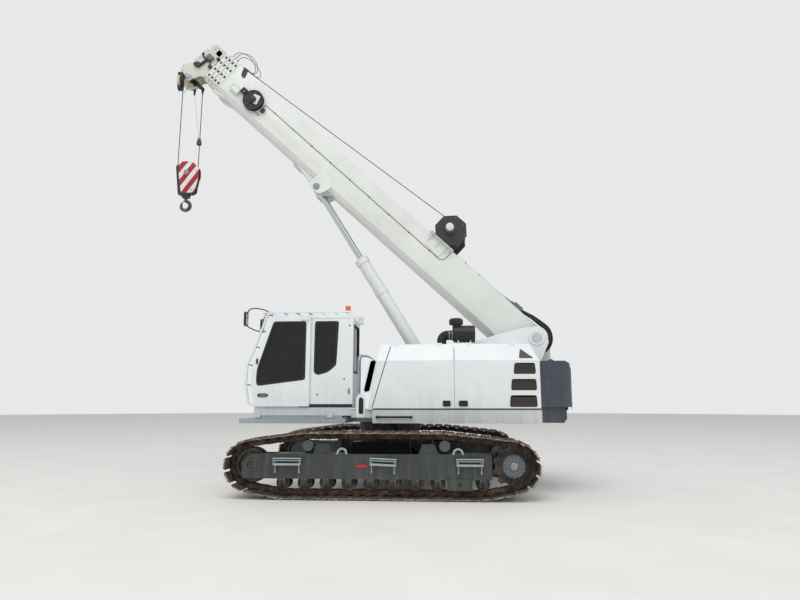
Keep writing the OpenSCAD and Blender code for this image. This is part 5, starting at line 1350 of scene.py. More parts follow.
# Half the plate's width, half of a flat, and depth and half width of its cut foot.
a, c, d, e = 0.3326, 0.1378, 0.2907, 0.1797
side_line = np.array([(a, -c), (a, c), (c, a), (-c, a), (-a, c), (-a, -c), (-e, -d), (e, -d)]) + (WU, WV)
parts = [rod_y(WU - 0.322 * math.cos(q), WV + 0.322 * math.sin(q), 0.012, -0.45, 0.45, 16)
    for q in np.radians([25, 90, 155])]
for s in (-1, 1):
    parts.append(plate(side_line, *span(s * 0.43, 0.01), 0.003, boom_side))
    parts.append(plate(oblong(*span(WU, 0.3), 0.2293, 0.2433), *span(s * 0.423, 0.051), 0.003, boom_side))
parts += [rod_y(WU, WV, 0.11, -0.462, -0.439, 40), rod_y(WU + 0.05, WV + 0.02, 0.08, -0.595, -0.461, 40),
    rod_y(WU, WV, 0.19, 0.439, 0.48, 56), rod_y(WU, WV, 0.15, 0.479, 0.52, 48)]
parts += [rod_y(WU, WV, 0.06, *span(s * 0.4002, 0.02)) for s in (-1, 1)]
stand_in("winch_frame", "winch_sides", parts, DARK, "boom")

# %% Winch seat, saddle and lip
parts, caps = [], []
for s in (-1, 1):
    parts.append(plate(oblong(WU - 0.34, WU + 0.33, 0.2147, 0.229), *span(s * 0.405, 0.075), 0.003,
        boom_side))
    bracket = rounded([(WU + 0.314, 0.2147), (WU + 0.227, -0.044), (WU - 0.168, -0.089), (WU - 0.227, 0.1),
        (WU - 0.337, 0.17), (WU - 0.337, 0.2147)], 0.012)
    parts.append(plate(bracket, *span(s * 0.3768, 0.0065), 0.002, boom_side))
    parts += [plate([(s * 0.3832, 0.0), (s * 0.3832, 0.2147), (s * 0.47, 0.2147)], *span(WU - x, 0.006),
        0.001, boom_across) for x in (-0.24, -0.02, 0.19)]
    outer = rounded([(5.925, -0.339), (5.633, -0.339), (5.483, -0.525), (5.563, -0.75), (5.643, -0.815),
        (5.863, -0.815), (5.925, -0.76)], 0.024)
    parts.append(plate(outer, *span(s * 0.3768, 0.0065), 0.002, boom_side))
    parts.append(plate([(6.559, -0.5845), (6.559, -0.605), (5.913, -0.74), (5.913, -0.5845)],
        *span(s * 0.24, 0.01), 0.002, boom_side))
    parts.append(plate([(9.28, -0.5848), (9.28, -0.647), (9.16, -0.647), (8.89, -0.5848)],
        *span(s * 0.175, 0.105), 0.004, boom_side))
    caps += [rod_y(5.753, -0.71, 0.074, *span(s * 0.39, 0.008), 40),
        rod_y(5.753, -0.71, 0.0445, *span(s * 0.27, 0.12), 32)]
for low, u0 in ((0.74, 5.91), (0.65, 5.581)):
    parts.append(plate([(-0.3702, -0.495), (-0.3702, -low), (0.3702, -low), (0.3702, -0.495),
        (0.281, -0.5848), (-0.281, -0.5848)], u0, u0 + 0.015, 0.002, boom_across))
piece("boom_plates", parts, BOOM_WHITE, "boom")
piece("eye_pin_caps", caps, STEEL, "boom")

# %% [markdown]
# ## Ropes
# The hoist rope is laid from six strands of thin wire, whose relief is a fine bump. It leaves the top of the
# winch drum, runs along the boom over the guide roller in the head, round the head sheave, down to the
# block's sheave and up again to its socket. A straight rope that grows with the telescope or the hoist bends
# between two bodies, so that each end stays on its own.

# %% Winch rope
ROPE_R = 0.009
ROLLER_AT, ROLLER_R = (10.1303, 0.15), 0.058
DRUM_AT, DRUM_R = (WU, WV), 0.266
MOTOR = (2.894, 0.54)


def tangent(c1, r1, c2, r2, side):
    """Outer tangent of two circles: its normal is the unit line between them turned by a quarter, leaned by
    the share (r1 - r2) / distance. Gives both touching points in the plane's two coordinates."""
    c1, c2 = np.asarray(c1, float), np.asarray(c2, float)
    d = c2 - c1
    length = np.linalg.norm(d)
    d /= length
    b = (r1 - r2) / length
    n = side * np.array([-d[1], d[0]]) * math.sqrt(1 - b * b) + b * d
    return c1 + r1 * n, c2 + r2 * n, n


def rope(name, path, body, to_body=None):
    """A rope tube on one body, or on no body when a second body is given."""
    thing = piece(name, pipe(path, ROPE_R, 12), ROPE, None if to_body else body)
    if to_body:
        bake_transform(thing)
    return thing


leave, meet, _ = tangent(DRUM_AT, DRUM_R + ROPE_R, ROLLER_AT, ROLLER_R + ROPE_R, 1.0)
line = on_boom(np.linspace(leave[0], meet[0], 24), np.linspace(leave[1], meet[1], 24), 0.0)
rope("winch_rope", line, "boom", "section_4")
sheave_uv = np.array([(HEAD - FOOT) @ OUT, (HEAD - FOOT) @ UP])
SHEAVE_R = 0.208
top, over, n = tangent(ROLLER_AT, ROLLER_R + ROPE_R, sheave_uv, SHEAVE_R + ROPE_R, 1.0)
a0, a1 = math.atan2(*(meet - ROLLER_AT)[::-1]), math.atan2(*(top - ROLLER_AT)[::-1])
t = np.linspace(a0, a1, 12)
bow = np.stack([ROLLER_AT[0] + (ROLLER_R + ROPE_R) * np.cos(t),
    ROLLER_AT[1] + (ROLLER_R + ROPE_R) * np.sin(t)], -1)
start_angle = math.atan2(n[1], n[0])
t = np.linspace(start_angle, start_angle - math.radians(118), 40)
wrap = sheave_uv + (SHEAVE_R + ROPE_R) * np.stack([np.cos(t), np.sin(t)], -1)
head_path = np.concatenate([bow, np.linspace(top, over, 8)[1:-1], wrap])
rope("head_rope", on_boom(head_path[:, 0], head_path[:, 1], 0.0), "section_4")
bush = on_boom(np.linspace(10.226, 10.232, 4), np.linspace(-0.456, -0.566, 4), 0.0)
piece("rope_bush", pipe(bush, 0.024, 16), PLASTIC, "section_4")

# %% [markdown]
# On the drum the rope lies turn beside turn. The whole winding is one lathe profile: a row of half circles
# 18 mm apart.

# %% Rope on the drum
turns = 34
w = np.linspace(0, turns, turns * 6 + 1)
rows = [(0.2555, -0.3125)] + [(0.257 + 0.0085 * abs(math.sin(math.pi * q)) ** 0.8, -0.309 + 0.018 * q)
    for q in w] + [(0.2555, 0.3055)]
DRUM = on_boom(DRUM_AT[0], DRUM_AT[1], 0.0)
piece("drum_rope", lathe(rows, DRUM, "y", 48, True), ROPE, "drum")
caps = np.concatenate([ring_of(DRUM + (0.0, -0.3562, 0.0), r, 8) for r in (0.2, 0.1)])
piece("drum_bolts", bolts(caps, 0.011, 0.009, "y", -1.0), STEEL, "drum")
edge = [DRUM_AT + 0.3 * np.array([math.cos(q), math.sin(q)])
    for q in np.radians([22.5 + 45 * k for k in (0, 1, 2, 3, 7)])]
for name, s in SIDES:
    heads = np.array([on_boom(*p, s * 0.4402) for p in edge])
    piece("winch_plate_bolts_" + name, bolts(heads, 0.014, 0.012, "y", s), STEEL, "boom")
motor = lathe([(0.0, -0.604), (0.055, -0.604), (0.078, -0.596), (0.084, -0.585), (0.084, -0.52),
    (0.0, -0.52)], on_boom(*MOTOR, 0.0), "y", 36)
piece("motor_cover", motor, LAMP, "boom")
ring = lathe([(0.0815, -0.47), (0.1, -0.466), (0.1, -0.45), (0.0815, -0.446)], on_boom(*MOTOR, 0.0), "y", 40,
    True)
piece("motor_flange", ring, GREY_PART, "boom")
a = np.arange(6) * math.pi / 3
around = on_boom(MOTOR[0] + 0.09 * np.cos(a), MOTOR[1] + 0.09 * np.sin(a), -0.47)
piece("motor_bolts", bolts(around, 0.009, 0.008, "y", -1.0), STEEL, "boom")
a = np.arange(12) * math.pi / 6
gear = on_boom(DRUM_AT[0] + 0.168 * np.cos(a), DRUM_AT[1] + 0.168 * np.sin(a), 0.4801)
piece("gear_bolts", bolts(gear, 0.01, 0.009, "y", 1.0), STEEL, "boom")

# %% [markdown]
# ## Cable line and reel
# A thin cable for the safety switch at the head runs in clips along the boom's left side to a spring reel.
# The reel's cover carries ribs and a small pale plate. Clips are small moulded blocks, every 0.6 m.

# %% Cable line
side_y = -0.37
u = np.linspace(2.68, 8.02, 60)
cable_line = on_boom(u, -0.1 - 0.0015 * np.sin(u * 9.0), side_y - 0.0065)
piece("side_cable", pipe(cable_line, 0.0055, 8), RUBBER, "boom")
clips = [plate(oblong(*span(q, 0.015), -0.112, -0.088), side_y - 0.014, side_y - 0.0002, 0.003, boom_side)
    for q in np.arange(2.9, 8.0, 0.6)]
piece("cable_clips", clips, PLASTIC, "boom")
feed = boom_points(((2.68, -0.1, side_y - 0.0065), (2.6, -0.095, side_y - 0.0065),
    (2.54, -0.03, side_y - 0.0068), (2.52, 0.1, side_y - 0.0115), (2.535, 0.19, side_y - 0.02)))
piece("cable_feed", pipe(smooth_path(feed, 20), 0.0055, 8), RUBBER, "boom")

# %% Reel cover and brackets
REEL_U, REEL_V = 8.256, -0.222
REEL = on_boom(REEL_U, REEL_V, 0.0)
face_rings = [(0.0, -0.512), (0.058, -0.512), (0.066, -0.508), (0.07, -0.4995), (0.0, -0.4995)]
piece("reel_cap", lathe([(r, y - 0.0245) for r, y in face_rings], REEL, "y", 36), PLASTIC, "reel")
ribs = []
for k in range(8):
    q = k * math.pi / 4
    c, d = math.cos(q), math.sin(q)
    line = [(0.09, -0.006), (0.228, -0.004), (0.228, 0.004), (0.09, 0.006)]
    turned = [(REEL_U + r * c - w * d, REEL_V + r * d + w * c) for r, w in line]
    ribs.append(plate(turned, -0.4985, -0.4895, 0.002, boom_side))
ribs.append(lathe([(0.224, -0.4895), (0.238, -0.4895), (0.238, -0.497), (0.231, -0.5), (0.224, -0.497)],
    REEL, "y", 64, True))
piece("reel_ribs", ribs, PLASTIC, "reel")
patch = plate(rounded([(8.1, -0.26), (8.26, -0.3), (8.33, -0.1), (8.17, -0.05)], 0.03), -0.5045, -0.4985,
    0.002, boom_side)
piece("reel_plate", patch, LAMP, "reel")
wound = [(0.2005, -0.4685)] + [(0.2085 + 0.005 * abs(math.sin(math.pi * q)), -0.4665 + 0.0115 * q)
    for q in np.linspace(0, 3, 19)] + [(0.2005, -0.4305)]
piece("reel_cable", lathe(wound, REEL, "y", 48, True), RUBBER, "reel")
guide = ring_plate(rounded(oblong(8.53, 8.66, -0.27, -0.13), 0.02),
    rounded(oblong(8.565, 8.625, -0.235, -0.165), 0.012), -0.47, -0.399, boom_side)
piece("cable_guide", guide, PLASTIC, "boom")
piece("guide_plate", plate(rounded(oblong(8.567, 8.623, -0.233, -0.167), 0.012), -0.43, -0.424, 0.001,
    boom_side), LAMP, "boom")
bar = plate(rounded(oblong(7.93, 8.16, -0.395, -0.375), 0.008), -0.398, -0.3702, 0.003, boom_side)
piece("reel_stay", bar, ZINC, "boom")
box_line = oblong(7.895, 7.985, -0.305, -0.195)
piece("cable_box", plate(rounded(box_line, 0.015), -0.428, -0.3985, 0.005, boom_side), PLASTIC, "boom")
out_cable = boom_points(((7.98, -0.13, -0.377), (8.0, -0.16, -0.385), (7.97, -0.185, -0.4),
    (7.955, -0.2, -0.41)))
piece("reel_lead", pipe(smooth_path(out_cable, 14), 0.0055, 8), RUBBER, "boom")
lamp_rim = ring_plate(rounded(oblong(8.682, 8.918, -0.363, -0.217), 0.02),
    rounded(oblong(8.7, 8.9, -0.345, -0.235), 0.012), -0.4465, -0.4398, boom_side, 0.002)
piece("lamp_box_rim", lamp_rim, SILL, "boom")

# %% [markdown]
# ## Pipes on the boom
# Valve block and steel pipes for the telescope lie at the foot, on top of the boom, where the hoses end.

# %% Valve block and pipes
def on_top(a, b, t):
    """Outline in u and y on the boom's upper face, depth up from it."""
    return on_boom(a, t, b)


blocks = [plate(oblong(a, b, y - w, y + w), 0.2153, h, 0.006, on_top) for y in (-0.255, 0.255)
    for a, b, w, h in ((0.59, 0.81, 0.1, 0.305), (0.811, 0.88, 0.07, 0.275))]
piece("valve_blocks", blocks, GREY_PART, "boom")
pipes = []
for y in (-0.3, -0.25, -0.2, 0.2, 0.25, 0.3):
    pipes.append(pipe(smooth_path(boom_points(((0.87, 0.25, y), (0.96, 0.25, y), (1.08, 0.235, y * 0.97),
        (1.22, 0.2285, y * 0.95), (1.5, 0.2285, y * 0.94), (1.9, 0.2285, y * 0.93), (2.22, 0.2285, y * 0.92),
        (2.47, 0.2285, y * 0.92))), 30), 0.011, 10))
piece("steel_pipes", pipes, ZINC, "boom")
holders = [plate(oblong(*span(q, 0.02), *span(y, 0.085)), 0.2153, 0.243, 0.004, on_top) for q in (1.75, 2.15)
    for y in (-0.233, 0.233)]
piece("pipe_holders", holders, PLASTIC, "boom")

# %% [markdown]
# ## Boom head
# Two side plates carry the head sheave, braced by plates across. A guide frame with two rollers stands on
# top, and a small nose sheave is folded to the left side in its fork.

# %% Head plates
HU, HV = (HEAD - FOOT) @ OUT, (HEAD - FOOT) @ UP
END = 9.6203
outer = rounded([(END, 0.065), (HU + 0.205, 0.03), (HU + 0.225, HV + 0.43), (HU + 0.205, HV + 0.31),
    (HU + 0.345, HV + 0.13), (HU + 0.335, HV + 0.01), (HU + 0.065, HV - 0.136), (HU - 0.055, HV - 0.072),
    (HU - 0.175, HV + 0.185), (END, -0.475)], 0.016)
parts = [plate(outer, *span(s * 0.17, 0.014), 0.003, boom_side) for s in (-1, 1)]
shell = [(-0.314, -0.461), (-0.314, 0.159), (0.314, 0.159), (0.314, -0.461), (0.246, -0.529),
    (-0.246, -0.529)]
parts.append(plate(shell, END, END + 0.04, 0.004, boom_across))
for line in (oblong(9.64, 10.16, 0.01, 0.03), oblong(HU - 0.33, HU + 0.02, HV + 0.33, HV + 0.35),
        [(HU + 0.338, HV + 0.12), (HU + 0.322, HV + 0.126), (HU + 0.19, HV + 0.306),
        (HU + 0.204, HV + 0.312)]):
    parts.append(plate(line, -0.1565, 0.1565, 0.001, boom_side))
frame_line = [(0.13, 0.02), (0.13, 0.24), (0.24, 0.262), (0.56, 0.262), (0.64, 0.19), (0.59, 0.02)]
frame_line = rounded(np.array(frame_line) + (END, 0.0), 0.02)
window = [(0.28, 0.08), (0.28, 0.19), (0.33, 0.19), (0.38, 0.19), (0.42, 0.19), (0.42, 0.08)]
window = rounded(np.array(window) + (END, 0.0), 0.01)
for s in (-1, 1):
    parts.append(ring_plate(frame_line, window, s * 0.1, s * 0.084, boom_side, 0.003))
    parts.append(rod_y(HU, HV, 0.085, *sorted((s * 0.181, s * 0.193)), 48))
# The head plates take the darker copy of the boom paint, which is painted shade.
stand_in("boom_head", "head_plates", parts, HEAD_SHADE_PAINT, "section_4")
parts = [rod_y(HU, HV, 0.045, -0.205, 0.205, 40)]
for u, r in ((END + 0.51, 0.058), (END + 0.2, 0.04)):
    parts += [rod_y(u, 0.15, r, -0.083, 0.083, 40), rod_y(u, 0.15, 0.024, -0.112, 0.112, 24)]
piece("head_rollers", parts, STEEL, "section_4")

# %% Nose sheave and fork
NOSE = HEAD + np.array([-0.109, -0.36, -0.213])
a = np.linspace(0, math.pi, 20)
half = np.stack([0.1 * np.cos(a), 0.138 + 0.1 * np.sin(a)], -1)
stadium = np.concatenate([half, -half]) + NOSE[1:]
parts = [plate(stadium, *span(NOSE[0] + s * 0.032, 0.004), 0.001, front_plane) for s in (-1, 1)]
parts.append(block(*span(NOSE[0], 0.036), NOSE[1] + 0.03, -0.1842, NOSE[2] + 0.16, NOSE[2] + 0.218, 0.003))
for dz, r, h in ((-0.19, 0.012, 0.043), (0.19, 0.012, 0.043), (0.0, 0.022, 0.045)):
    parts.append(lathe(oblong(0.0, r, -h, h), NOSE + (0, 0, dz), "x", 24))
piece("nose_fork", parts, DARK, "section_4")
profile = [(0.0221, -0.025), (0.048, -0.025), (0.048, -0.009), (0.11, -0.009), (0.124, -0.025),
    (0.15, -0.025), (0.15, -0.019), (0.128, -0.009)]
piece("nose_sheave", lathe(profile + [(r, -h) for r, h in profile[::-1]], NOSE, "x", 64, True), NYLON,
    "section_4")

# %% [markdown]
# ## Fittings of the boom's mouth and head
# Every section's collar holds slide pads behind dark covers with bolts. Thin hoses for pad grease and cables
# leave each collar at the top in a standing loop and come back to it. At the head clamps, a box and a switch
# with its horn are seen against the sky.

# %% Pad covers and collar bolts
# Each collar's middle along the boom, its body and the y of its outer face.
COLLARS = ((9.235, "boom", 0.37 + 0.014), (9.337, "section_2", 0.37 + 0.016),
    (9.447, "section_3", 0.37 + 0.016), (9.555, "section_4", 0.37 + 0.016))
for number, (u0, body, face) in enumerate(COLLARS):
    for side, s in SIDES:
        spots = np.array([on_boom(u0 + du, v, s * face) for v in (-0.54, -0.35, -0.15, 0.035, 0.185)
            for du in (-0.022, 0.022)])
        piece("collar_bolts_%s_%d" % (side, number + 1), bolts(spots, 0.008, 0.008, "y", s), STEEL, body)
        pads = [plate(oblong(*span(u0, 0.02), *span(v, 0.031)), s * (face + 0.0002), s * (face + 0.006),
            0.002, boom_side) for v in (-0.45, -0.25, -0.05, 0.12)]
        piece("pad_covers_%s_%d" % (side, number + 1), pads, PLASTIC if number else RUBBER, body)

# %% Hose loops over the mouth
for number, (rise, reach, y0) in enumerate(((0.25, 0.62, -0.31), (0.33, 0.56, -0.27), (0.3, 0.6, -0.23)), 1):
    u0, body, _ = COLLARS[number]
    v0 = 0.2315
    points = [(u0, v0, y0), (u0 + 0.005, v0 + 0.09, y0), (u0 - 0.04, v0 + rise * 0.72, y0),
        (u0 - reach * 0.35, v0 + rise * 0.98, y0 + 0.02), (u0 - reach * 0.72, v0 + rise * 0.92, y0 + 0.05),
        (u0 - reach * 0.98, v0 + rise * 0.62, y0 + 0.08), (u0 - reach, v0 + rise * 0.36, y0 + 0.12),
        (u0 - reach * 0.86, v0 + 0.062, y0 + 0.16), (u0 - reach * 0.5, v0 + 0.042, y0 + 0.19),
        (u0 - 0.06, v0 + 0.04, y0 + 0.21), (u0 - 0.004, v0 + 0.016, y0 + 0.215),
        (u0 + 0.002, v0 - 0.001, y0 + 0.215)]
    points = boom_points(points)
    hose("mouth_hose_%d" % number, points, 0.0065, RUBBER, body, count=60, sides=8)
    foot_blocks = [plate(oblong(*span(u0, 0.018), *span(y, 0.02)), v0 - 0.0012, v0 + 0.03, 0.003, on_top)
        for y in (y0, y0 + 0.215)]
    piece("hose_clamps_%d" % number, foot_blocks, PLASTIC, body)

# %% Bracket on the boom's upper left edge
edge_line = rounded([(8.7, 0.245), (9.04, 0.245), (9.06, 0.222), (8.98, 0.05), (8.9, 0.02), (8.86, 0.06),
    (8.93, 0.222)], 0.02)
piece("edge_bracket", plate(edge_line, -0.384, -0.3703, 0.003, boom_side), PLASTIC, "boom")
piece("edge_bolts", bolts([on_boom(q, w, -0.384) for q, w in ((8.905, 0.055), (8.95, 0.13), (9.01, 0.225))],
    0.01, 0.008, "y", -1.0), STEEL, "boom")

# %% [markdown]
# The head's side plates carry black plastic clamps, a grey junction box, and the switch for the
# hook's upper limit on the nose, whose black bracket and horn stand out to the front. All sit on the left
# plate, 184 mm from the middle.

# %% Head fittings
LEFT = -0.184


def head_box(name, line, y0, y1, material, radius=0.012, bevel=0.004):
    """A bevelled plate on the head's left side."""
    return piece(name, plate(rounded(line, radius), y0, y1, bevel, boom_side), material, "section_4")


head_box("head_clamp_1", oblong(9.76, 9.84, -0.04, 0.03), -0.232, LEFT - 0.0002, PLASTIC)
head_box("head_clamp_2", oblong(9.78, 9.86, -0.31, -0.23), -0.232, LEFT - 0.0002, PLASTIC)
head_box("head_clamp_3", oblong(9.68, 9.75, -0.17, -0.1), -0.222, LEFT - 0.0002, PLASTIC)
head_box("junction_box", oblong(9.9, 10.06, -0.16, -0.04), -0.246, LEFT - 0.0002, GREY_PART, 0.02)
for number, points in enumerate(([(9.7, 0.015), (9.74, 0.0), (9.8, -0.005)],
        [(9.82, -0.235), (9.88, -0.21), (9.95, -0.17), (9.97, -0.15)],
        [(9.715, -0.1), (9.72, -0.04), (9.76, -0.005)])):
    piece("head_cable_%d" % (number + 1),
        pipe(smooth_path([on_boom(q, w, LEFT - 0.012) for q, w in points], 14), 0.0065, 8), RUBBER,
        "section_4")
nose = together(plate(rounded([(10.0, -0.36), (10.1, -0.36), (10.17, -0.44), (10.15, -0.5), (10.02, -0.47)],
    0.015), -0.25, LEFT - 0.0002, 0.004, boom_side),
    plate(rounded([(9.98, -0.19), (10.03, -0.19), (10.05, -0.37), (10.0, -0.37)], 0.012), -0.236,
    LEFT - 0.0002, 0.004, boom_side), plate(rounded(oblong(9.9, 10.12, -0.205, -0.165), 0.012), -0.228,
    LEFT - 0.0002, 0.004, boom_side))
piece("limit_switch", nose, PLASTIC, "section_4")
horn = pipe(smooth_path(boom_points([(10.11, -0.19, -0.205), (10.17, -0.17, -0.205),
    (10.205, -0.12, -0.205)]), 12), np.linspace(0.014, 0.024, 12), 12)
piece("switch_horn", horn, PLASTIC, "section_4")
around = np.array([on_boom(q, w, LEFT)
    for q, w in ((9.68, 0.11), (9.68, -0.02), (9.68, -0.32), (9.68, -0.44), (9.9, -0.71), (10.27, -0.75),
    (10.33, -0.67), (10.17, 0.0), (10.19, -0.25))])
piece("head_bolts_left", bolts(around, 0.012, 0.01, "y", -1.0), GOLD, "section_4")
piece("head_bolts_right", bolts(around * (1, -1, 1), 0.012, 0.01, "y", 1.0), GOLD, "section_4")
head_box("axle_keeper", oblong(9.95, 10.1, -0.756, -0.726), -0.202, -0.1935, ZINC, 0.006, 0.002)

# %% [markdown]
# The nose sheave's fork carries a thin cable that hangs from its lower end in a bow back to the head. It is
# cable for the limit switch, fixed at both ends.

# %% Cable below the nose
start = on_boom(10.14, -0.76, -0.19)
finish = on_boom(9.935, -0.765, -0.19)
low = NOSE + (0.0415, -0.012, -0.16)
sag = [start, start + (0.01, -0.05, -0.03), NOSE + (0.0415, 0.05, 0.12), NOSE + (0.0415, 0.0, 0.0), low,
    low + (0.004, 0.0, -0.055), low + (0.035, 0.02, -0.125), (low + finish) / 2 + (0.0, 0.0, -0.165),
    finish + (-0.02, -0.03, -0.075), finish + (0.0, -0.004, -0.03), finish]
hose("nose_cable", sag, 0.005, RUBBER, "section_4", count=40, sides=8)

# %% [markdown]
# ## Falls and hook block
# The front fall comes off the head sheave, the rear fall ends in a wedge socket that hangs on the same
# axle. Both reach down to the block, and on the machine they grow as it is lowered. Here each rides on no
# body.

# %% Rope falls
FRONT_X, REAR_X = HEAD[0] - 0.217, BLOCK[0] + 0.245
for name, x, high in (("fall_front", FRONT_X, HEAD[2] - 0.002), ("fall_rear", REAR_X, HEAD[2] - 0.349)):
    z = np.linspace(high, BLOCK[2], 30)
    path = np.stack([np.full(30, x), np.zeros(30), z], -1)
    thing = rope(name, path, "falls", "block")
    if name == "fall_front":
        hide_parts("hoist_falls")
t = np.linspace(math.pi, 2 * math.pi, 40)
under = np.stack([BLOCK[0] + 0.245 * np.cos(t), np.zeros(40), BLOCK[2] + 0.245 * np.sin(t)], -1)
rope("fall_turn", under, "block")

# %% [markdown]
# A small weight on a thin cable hangs round the rear fall. When the block lifts it, the switch at the head
# stops the winch. Its cable comes down from a spare socket, which hangs beside the rope's own between two
# lugs.

# %% Switch weight
WEIGHT = np.array([REAR_X - 0.012, 0.0, HEAD[2] - 1.64])
weight = lathe([(0.018, 0.0), (0.052, 0.0), (0.06, 0.008), (0.056, 0.075), (0.046, 0.082), (0.018, 0.082)],
    WEIGHT, "z", 28, True)
ballast = piece("switch_weight", weight, HOOK_STEEL, "falls")
collar_part = lathe([(0.018, 0.0835), (0.04, 0.0835), (0.046, 0.09), (0.04, 0.15), (0.018, 0.15)], WEIGHT,
    "z", 24, True)
sleeve = piece("weight_sleeve", collar_part, HOOK_STEEL, "falls")
top_at = HEAD + np.array([0.07, 0.014, -0.165])
end_at = WEIGHT + (-0.03, 0.0, 0.15)
line = [top_at, top_at + (0, 0, -0.1), top_at + (0, 0, -0.21), top_at * 0.7 + end_at * 0.3,
    top_at * 0.4 + end_at * 0.6, end_at + (0, -0.004, 0.15), end_at, end_at + (0, 0, -0.12)]
hose("weight_cable", line, 0.0038, STEEL, "falls", count=30,
    sides=8)
socket = lathe([(0.0, 0.0), (0.014, 0.0), (0.018, 0.01), (0.03, 0.105), (0.03, 0.125), (0.0, 0.125)],
    top_at + (0.0, 0.0, -0.203), "z", 24)
piece("spare_socket", socket, DARK, "falls")
lug = np.array([(-0.022, -0.1), (-0.022, 0.08), (0.022, 0.08), (0.022, -0.1)]) + top_at[::2]
piece("socket_lugs", [plate(rounded(lug, 0.02), *span(y, 0.004), 0.001) for y in (-0.0165, 0.0445)], DARK,
    "falls")

# %% [markdown]
# The block's plates are bolted together round the sheave, with spacers between them. The hook's nut is
# covered by a cap, and its latch turns on a pin with a spring.

# %% Block bolts and latch
spots = [(-0.145, 0.15), (0.02, 0.225), (0.165, 0.165), (0.225, 0.02), (0.205, -0.22), (0.15, -0.44),
    (-0.06, -0.45), (-0.125, -0.18)]
for side, s in SIDES:
    at = BLOCK + np.array([(x, s * 0.0692, z) for x, z in spots])
    piece("block_bolts_" + side, bolts(at, 0.013, 0.01, "y", s), STEEL, "block")
    cover = lathe([(0.0, s * 0.0875), (0.022, s * 0.0875), (0.03, s * 0.083), (0.03, s * 0.08),
        (0.0, s * 0.08)], BLOCK, "y", 28)
    piece("block_grease_cap_" + side, cover, STEEL, "block")
spacers = [lathe(oblong(0.0, 0.013, -0.029, 0.029), BLOCK + (x, 0, z), "y", 16)
    for x, z in ((-0.19, 0.165), (0.245, 0.1), (0.05, 0.243))]
piece("block_spacers", spacers, STEEL, "block")
HOOK_C = BLOCK + np.array([0.0, 0.0, -0.8])
pin = lathe([(0.0, -0.046), (0.009, -0.046), (0.011, -0.042), (0.011, 0.042), (0.009, 0.046), (0.0, 0.046)],
    HOOK_C + (-0.03, 0, 0.11), "y", 16)
piece("latch_pin", pin, STEEL, "hook")

# %% [markdown]
# The block itself is two dark cheeks round the sheave, two striped face plates outside them, a weight below
# and a cross head that the hook turns in. The rope's end hangs from the head's axle in a socket between two
# link plates.

# %% Block, hook and rope socket
cheek = [(-0.265, 0.157), (-0.19, 0.205), (0.06, 0.252), (0.19, 0.19), (0.276, 0.09), (0.284, -0.1),
    (0.205, -0.5), (0.15, -0.538), (-0.179, -0.538)]
face = [(-0.193, 0.173), (-0.122, 0.264), (0.062, 0.266), (0.162, 0.227), (0.29, 0.096), (0.297, -0.103),
    (0.219, -0.499), (-0.102, -0.506), (-0.193, 0.019)]
parts = [plate(rounded(cheek, 0.016) + BLOCK[::2], *span(s * 0.044, 0.014), 0.002) for s in (-1, 1)]
parts.append(block(BLOCK[0] - 0.165, BLOCK[0] + 0.18, -0.031, 0.031, BLOCK[2] - 0.537, BLOCK[2] - 0.29,
    0.003))
parts.append(block(*span(BLOCK[0], 0.08), -0.047, 0.047, BLOCK[2] - 0.612, BLOCK[2] - 0.572, 0.003))
parts += [block(*span(BLOCK[0], 0.08), *sorted((s * 0.046, s * 0.058)), BLOCK[2] - 0.612, BLOCK[2] - 0.53,
    0.002) for s in (-1, 1)]
stand_in("hook_block", "block_cheeks", parts, DARK, "block")
piece("block_faces", [plate(rounded(face, 0.016) + BLOCK[::2], s * 0.063 - 0.0055, s * 0.063 + 0.006, 0.002)
    for s in (-1, 1)], STRIPES, "block")
bosses = [lathe([(0.0, s * 0.082), (0.038, s * 0.082), (0.04, s * 0.078), (0.06, s * 0.078),
    (0.062, s * 0.076), (0.062, s * 0.069), (0.0, s * 0.069)], BLOCK, "y", 40) for s in (-1, 1)]
piece("block_bosses", bosses, STEEL, "block")
a = np.radians(np.linspace(158, 450, 60))
arc = HOOK_C + 0.106 * np.stack([np.cos(a), 0 * a, np.sin(a)], -1)
thick = np.interp(np.linspace(0, 1, 60), [0.0, 0.03, 0.25, 0.6, 1.0], [0.022, 0.03, 0.038, 0.042, 0.036])
shank = lathe(oblong(0.0, 0.036, 0.1, 0.238), HOOK_C, "z", 32)
nut = lathe([(0.0, 0.2283), (0.04, 0.2283), (0.044, 0.232), (0.044, 0.25), (0.04, 0.252), (0.0, 0.252)],
    HOOK_C, "z", 6)
tip = pipe(np.stack([np.full(8, arc[0, 0]), np.zeros(8), arc[0, 2] + np.linspace(-0.002, 0.03, 8)], -1),
    [0.024, 0.025, 0.025, 0.024, 0.022, 0.018, 0.012, 0.004], 20)
latch = plate(np.array([(-0.028, 0.116), (-0.036, 0.104), (-0.098, 0.062), (-0.104, 0.074)]) + HOOK_C[::2],
    -0.011, 0.011, 0.002)
stand_in("hook", "hook_forging", [pipe(arc, thick, 28), shank, nut, tip, latch], HOOK_STEEL, "hook")
RX, HX, HZ = REAR_X, HEAD[0], HEAD[2]
link = rounded([(HX - 0.066, HZ), (HX, HZ + 0.07), (HX + 0.07, HZ + 0.01), (RX + 0.034, HZ - 0.195),
    (RX + 0.012, HZ - 0.245), (RX - 0.034, HZ - 0.227), (HX - 0.02, HZ - 0.07)], 0.014)
parts = [plate(link, *span(s * 0.044, 0.008), 0.002) for s in (-1, 1)]
parts.append(block(*span(RX, 0.02), -0.037, 0.037, HZ - 0.241, HZ - 0.197, 0.003))
parts.append(lathe(oblong(0.0, 0.014, -0.058, 0.058), (RX, 0, HZ - 0.215), "y", 20))
parts.append(lathe([(0.0, -0.355), (0.014, -0.355), (0.016, -0.352), (0.034, -0.24), (0.03, -0.235),
    (0.0, -0.235)], (RX, 0, HZ), "z", 32))
stand_in("rope_anchor", "rope_socket", parts, PLASTIC, "falls")

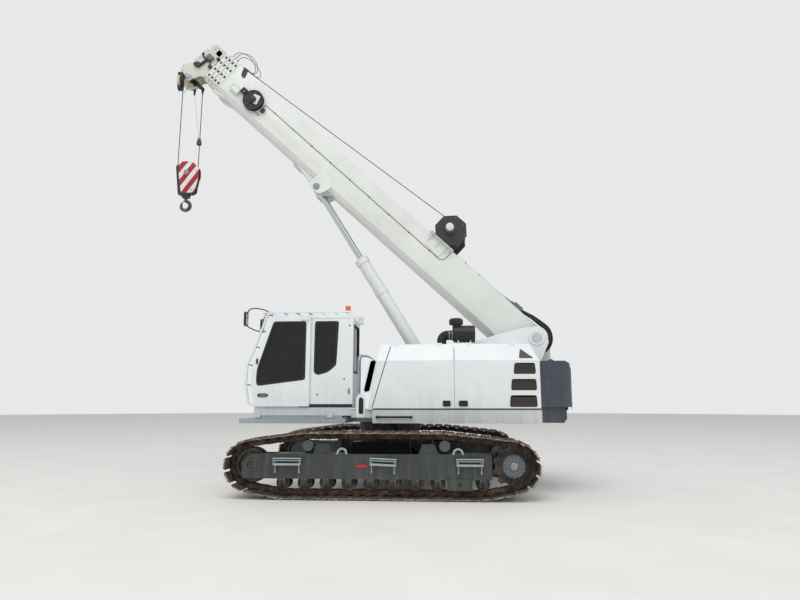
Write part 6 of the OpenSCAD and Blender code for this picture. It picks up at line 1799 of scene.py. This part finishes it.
# %% [markdown]
# ## Floor and light
# A pale floor and a pale world stand in for a studio. A very broad lamp high up in front gives the soft
# light of a cloudy day, and a weaker one from the right opens the shadows. The world is brighter where the
# camera or glass looks at it, and dimmer where it only lights the machine.

# %% Floor
def floor_finish():
    """Smooth pale concrete: a low noise of two near greys."""
    material, tree, shader, place = new_material("pale studio floor", Roughness=0.75)
    noise = add(tree, "TexNoise", {"Scale": 0.7, "Detail": 6.0}, Vector=place)
    join(tree, shader, Base_Color=ramp(tree, noise, [(0.3, "#eceae6"), (0.7, "#f2f0ec")]))
    return material


a = full_turn(96)
rim = np.stack([90 * np.cos(a), 90 * np.sin(a), 0 * a - 0.0005], -1)
ground = bpy.data.meshes.new("floor")
ground.from_pydata(rim.tolist(), [], [list(range(96))])
ground.materials.append(floor_finish())
floor = bpy.data.objects.new("floor", ground)
scene.collection.objects.link(floor)
floor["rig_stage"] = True

# %% World and lamps
world = bpy.data.worlds.new("studio")
scene.world = world
world.use_nodes = True
tree = world.node_tree
back = tree.nodes["Background"]
path = add(tree, "LightPath")
seen = add(tree, "Math", {"operation": "MAXIMUM"}, _0=path.outputs["Is Camera Ray"],
    _1=path.outputs["Is Transmission Ray"])
strength = add(tree, "MapRange", {"To Min": 0.64, "To Max": 0.88}, Value=seen)
join(tree, back, Strength=strength)
back.inputs["Color"].default_value = linear("#f4f6f8")


def lamp(name, power, size, place):
    """A square area lamp at a place, turned to aim at the machine's middle."""
    light = bpy.data.lights.new(name, "AREA")
    light.energy = power
    light.size = size
    thing = bpy.data.objects.new(name, light)
    thing.location = place
    thing.rotation_euler = (Vector((0.0, 0.0, 3.0)) - Vector(place)).to_track_quat("-Z", "Y").to_euler()
    scene.collection.objects.link(thing)


lamp("sky", 6000.0, 28.0, (-4.0, -20.0, 34.0))
lamp("fill", 2000.0, 24.0, (27.0, -27.0, 20.0))

# %% Finish
scene.view_settings.view_transform = "Standard"
low, high = [list(map(float, c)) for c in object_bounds()]
print("visual box:", [round(h - l, 3) for l, h in zip(low, high)])
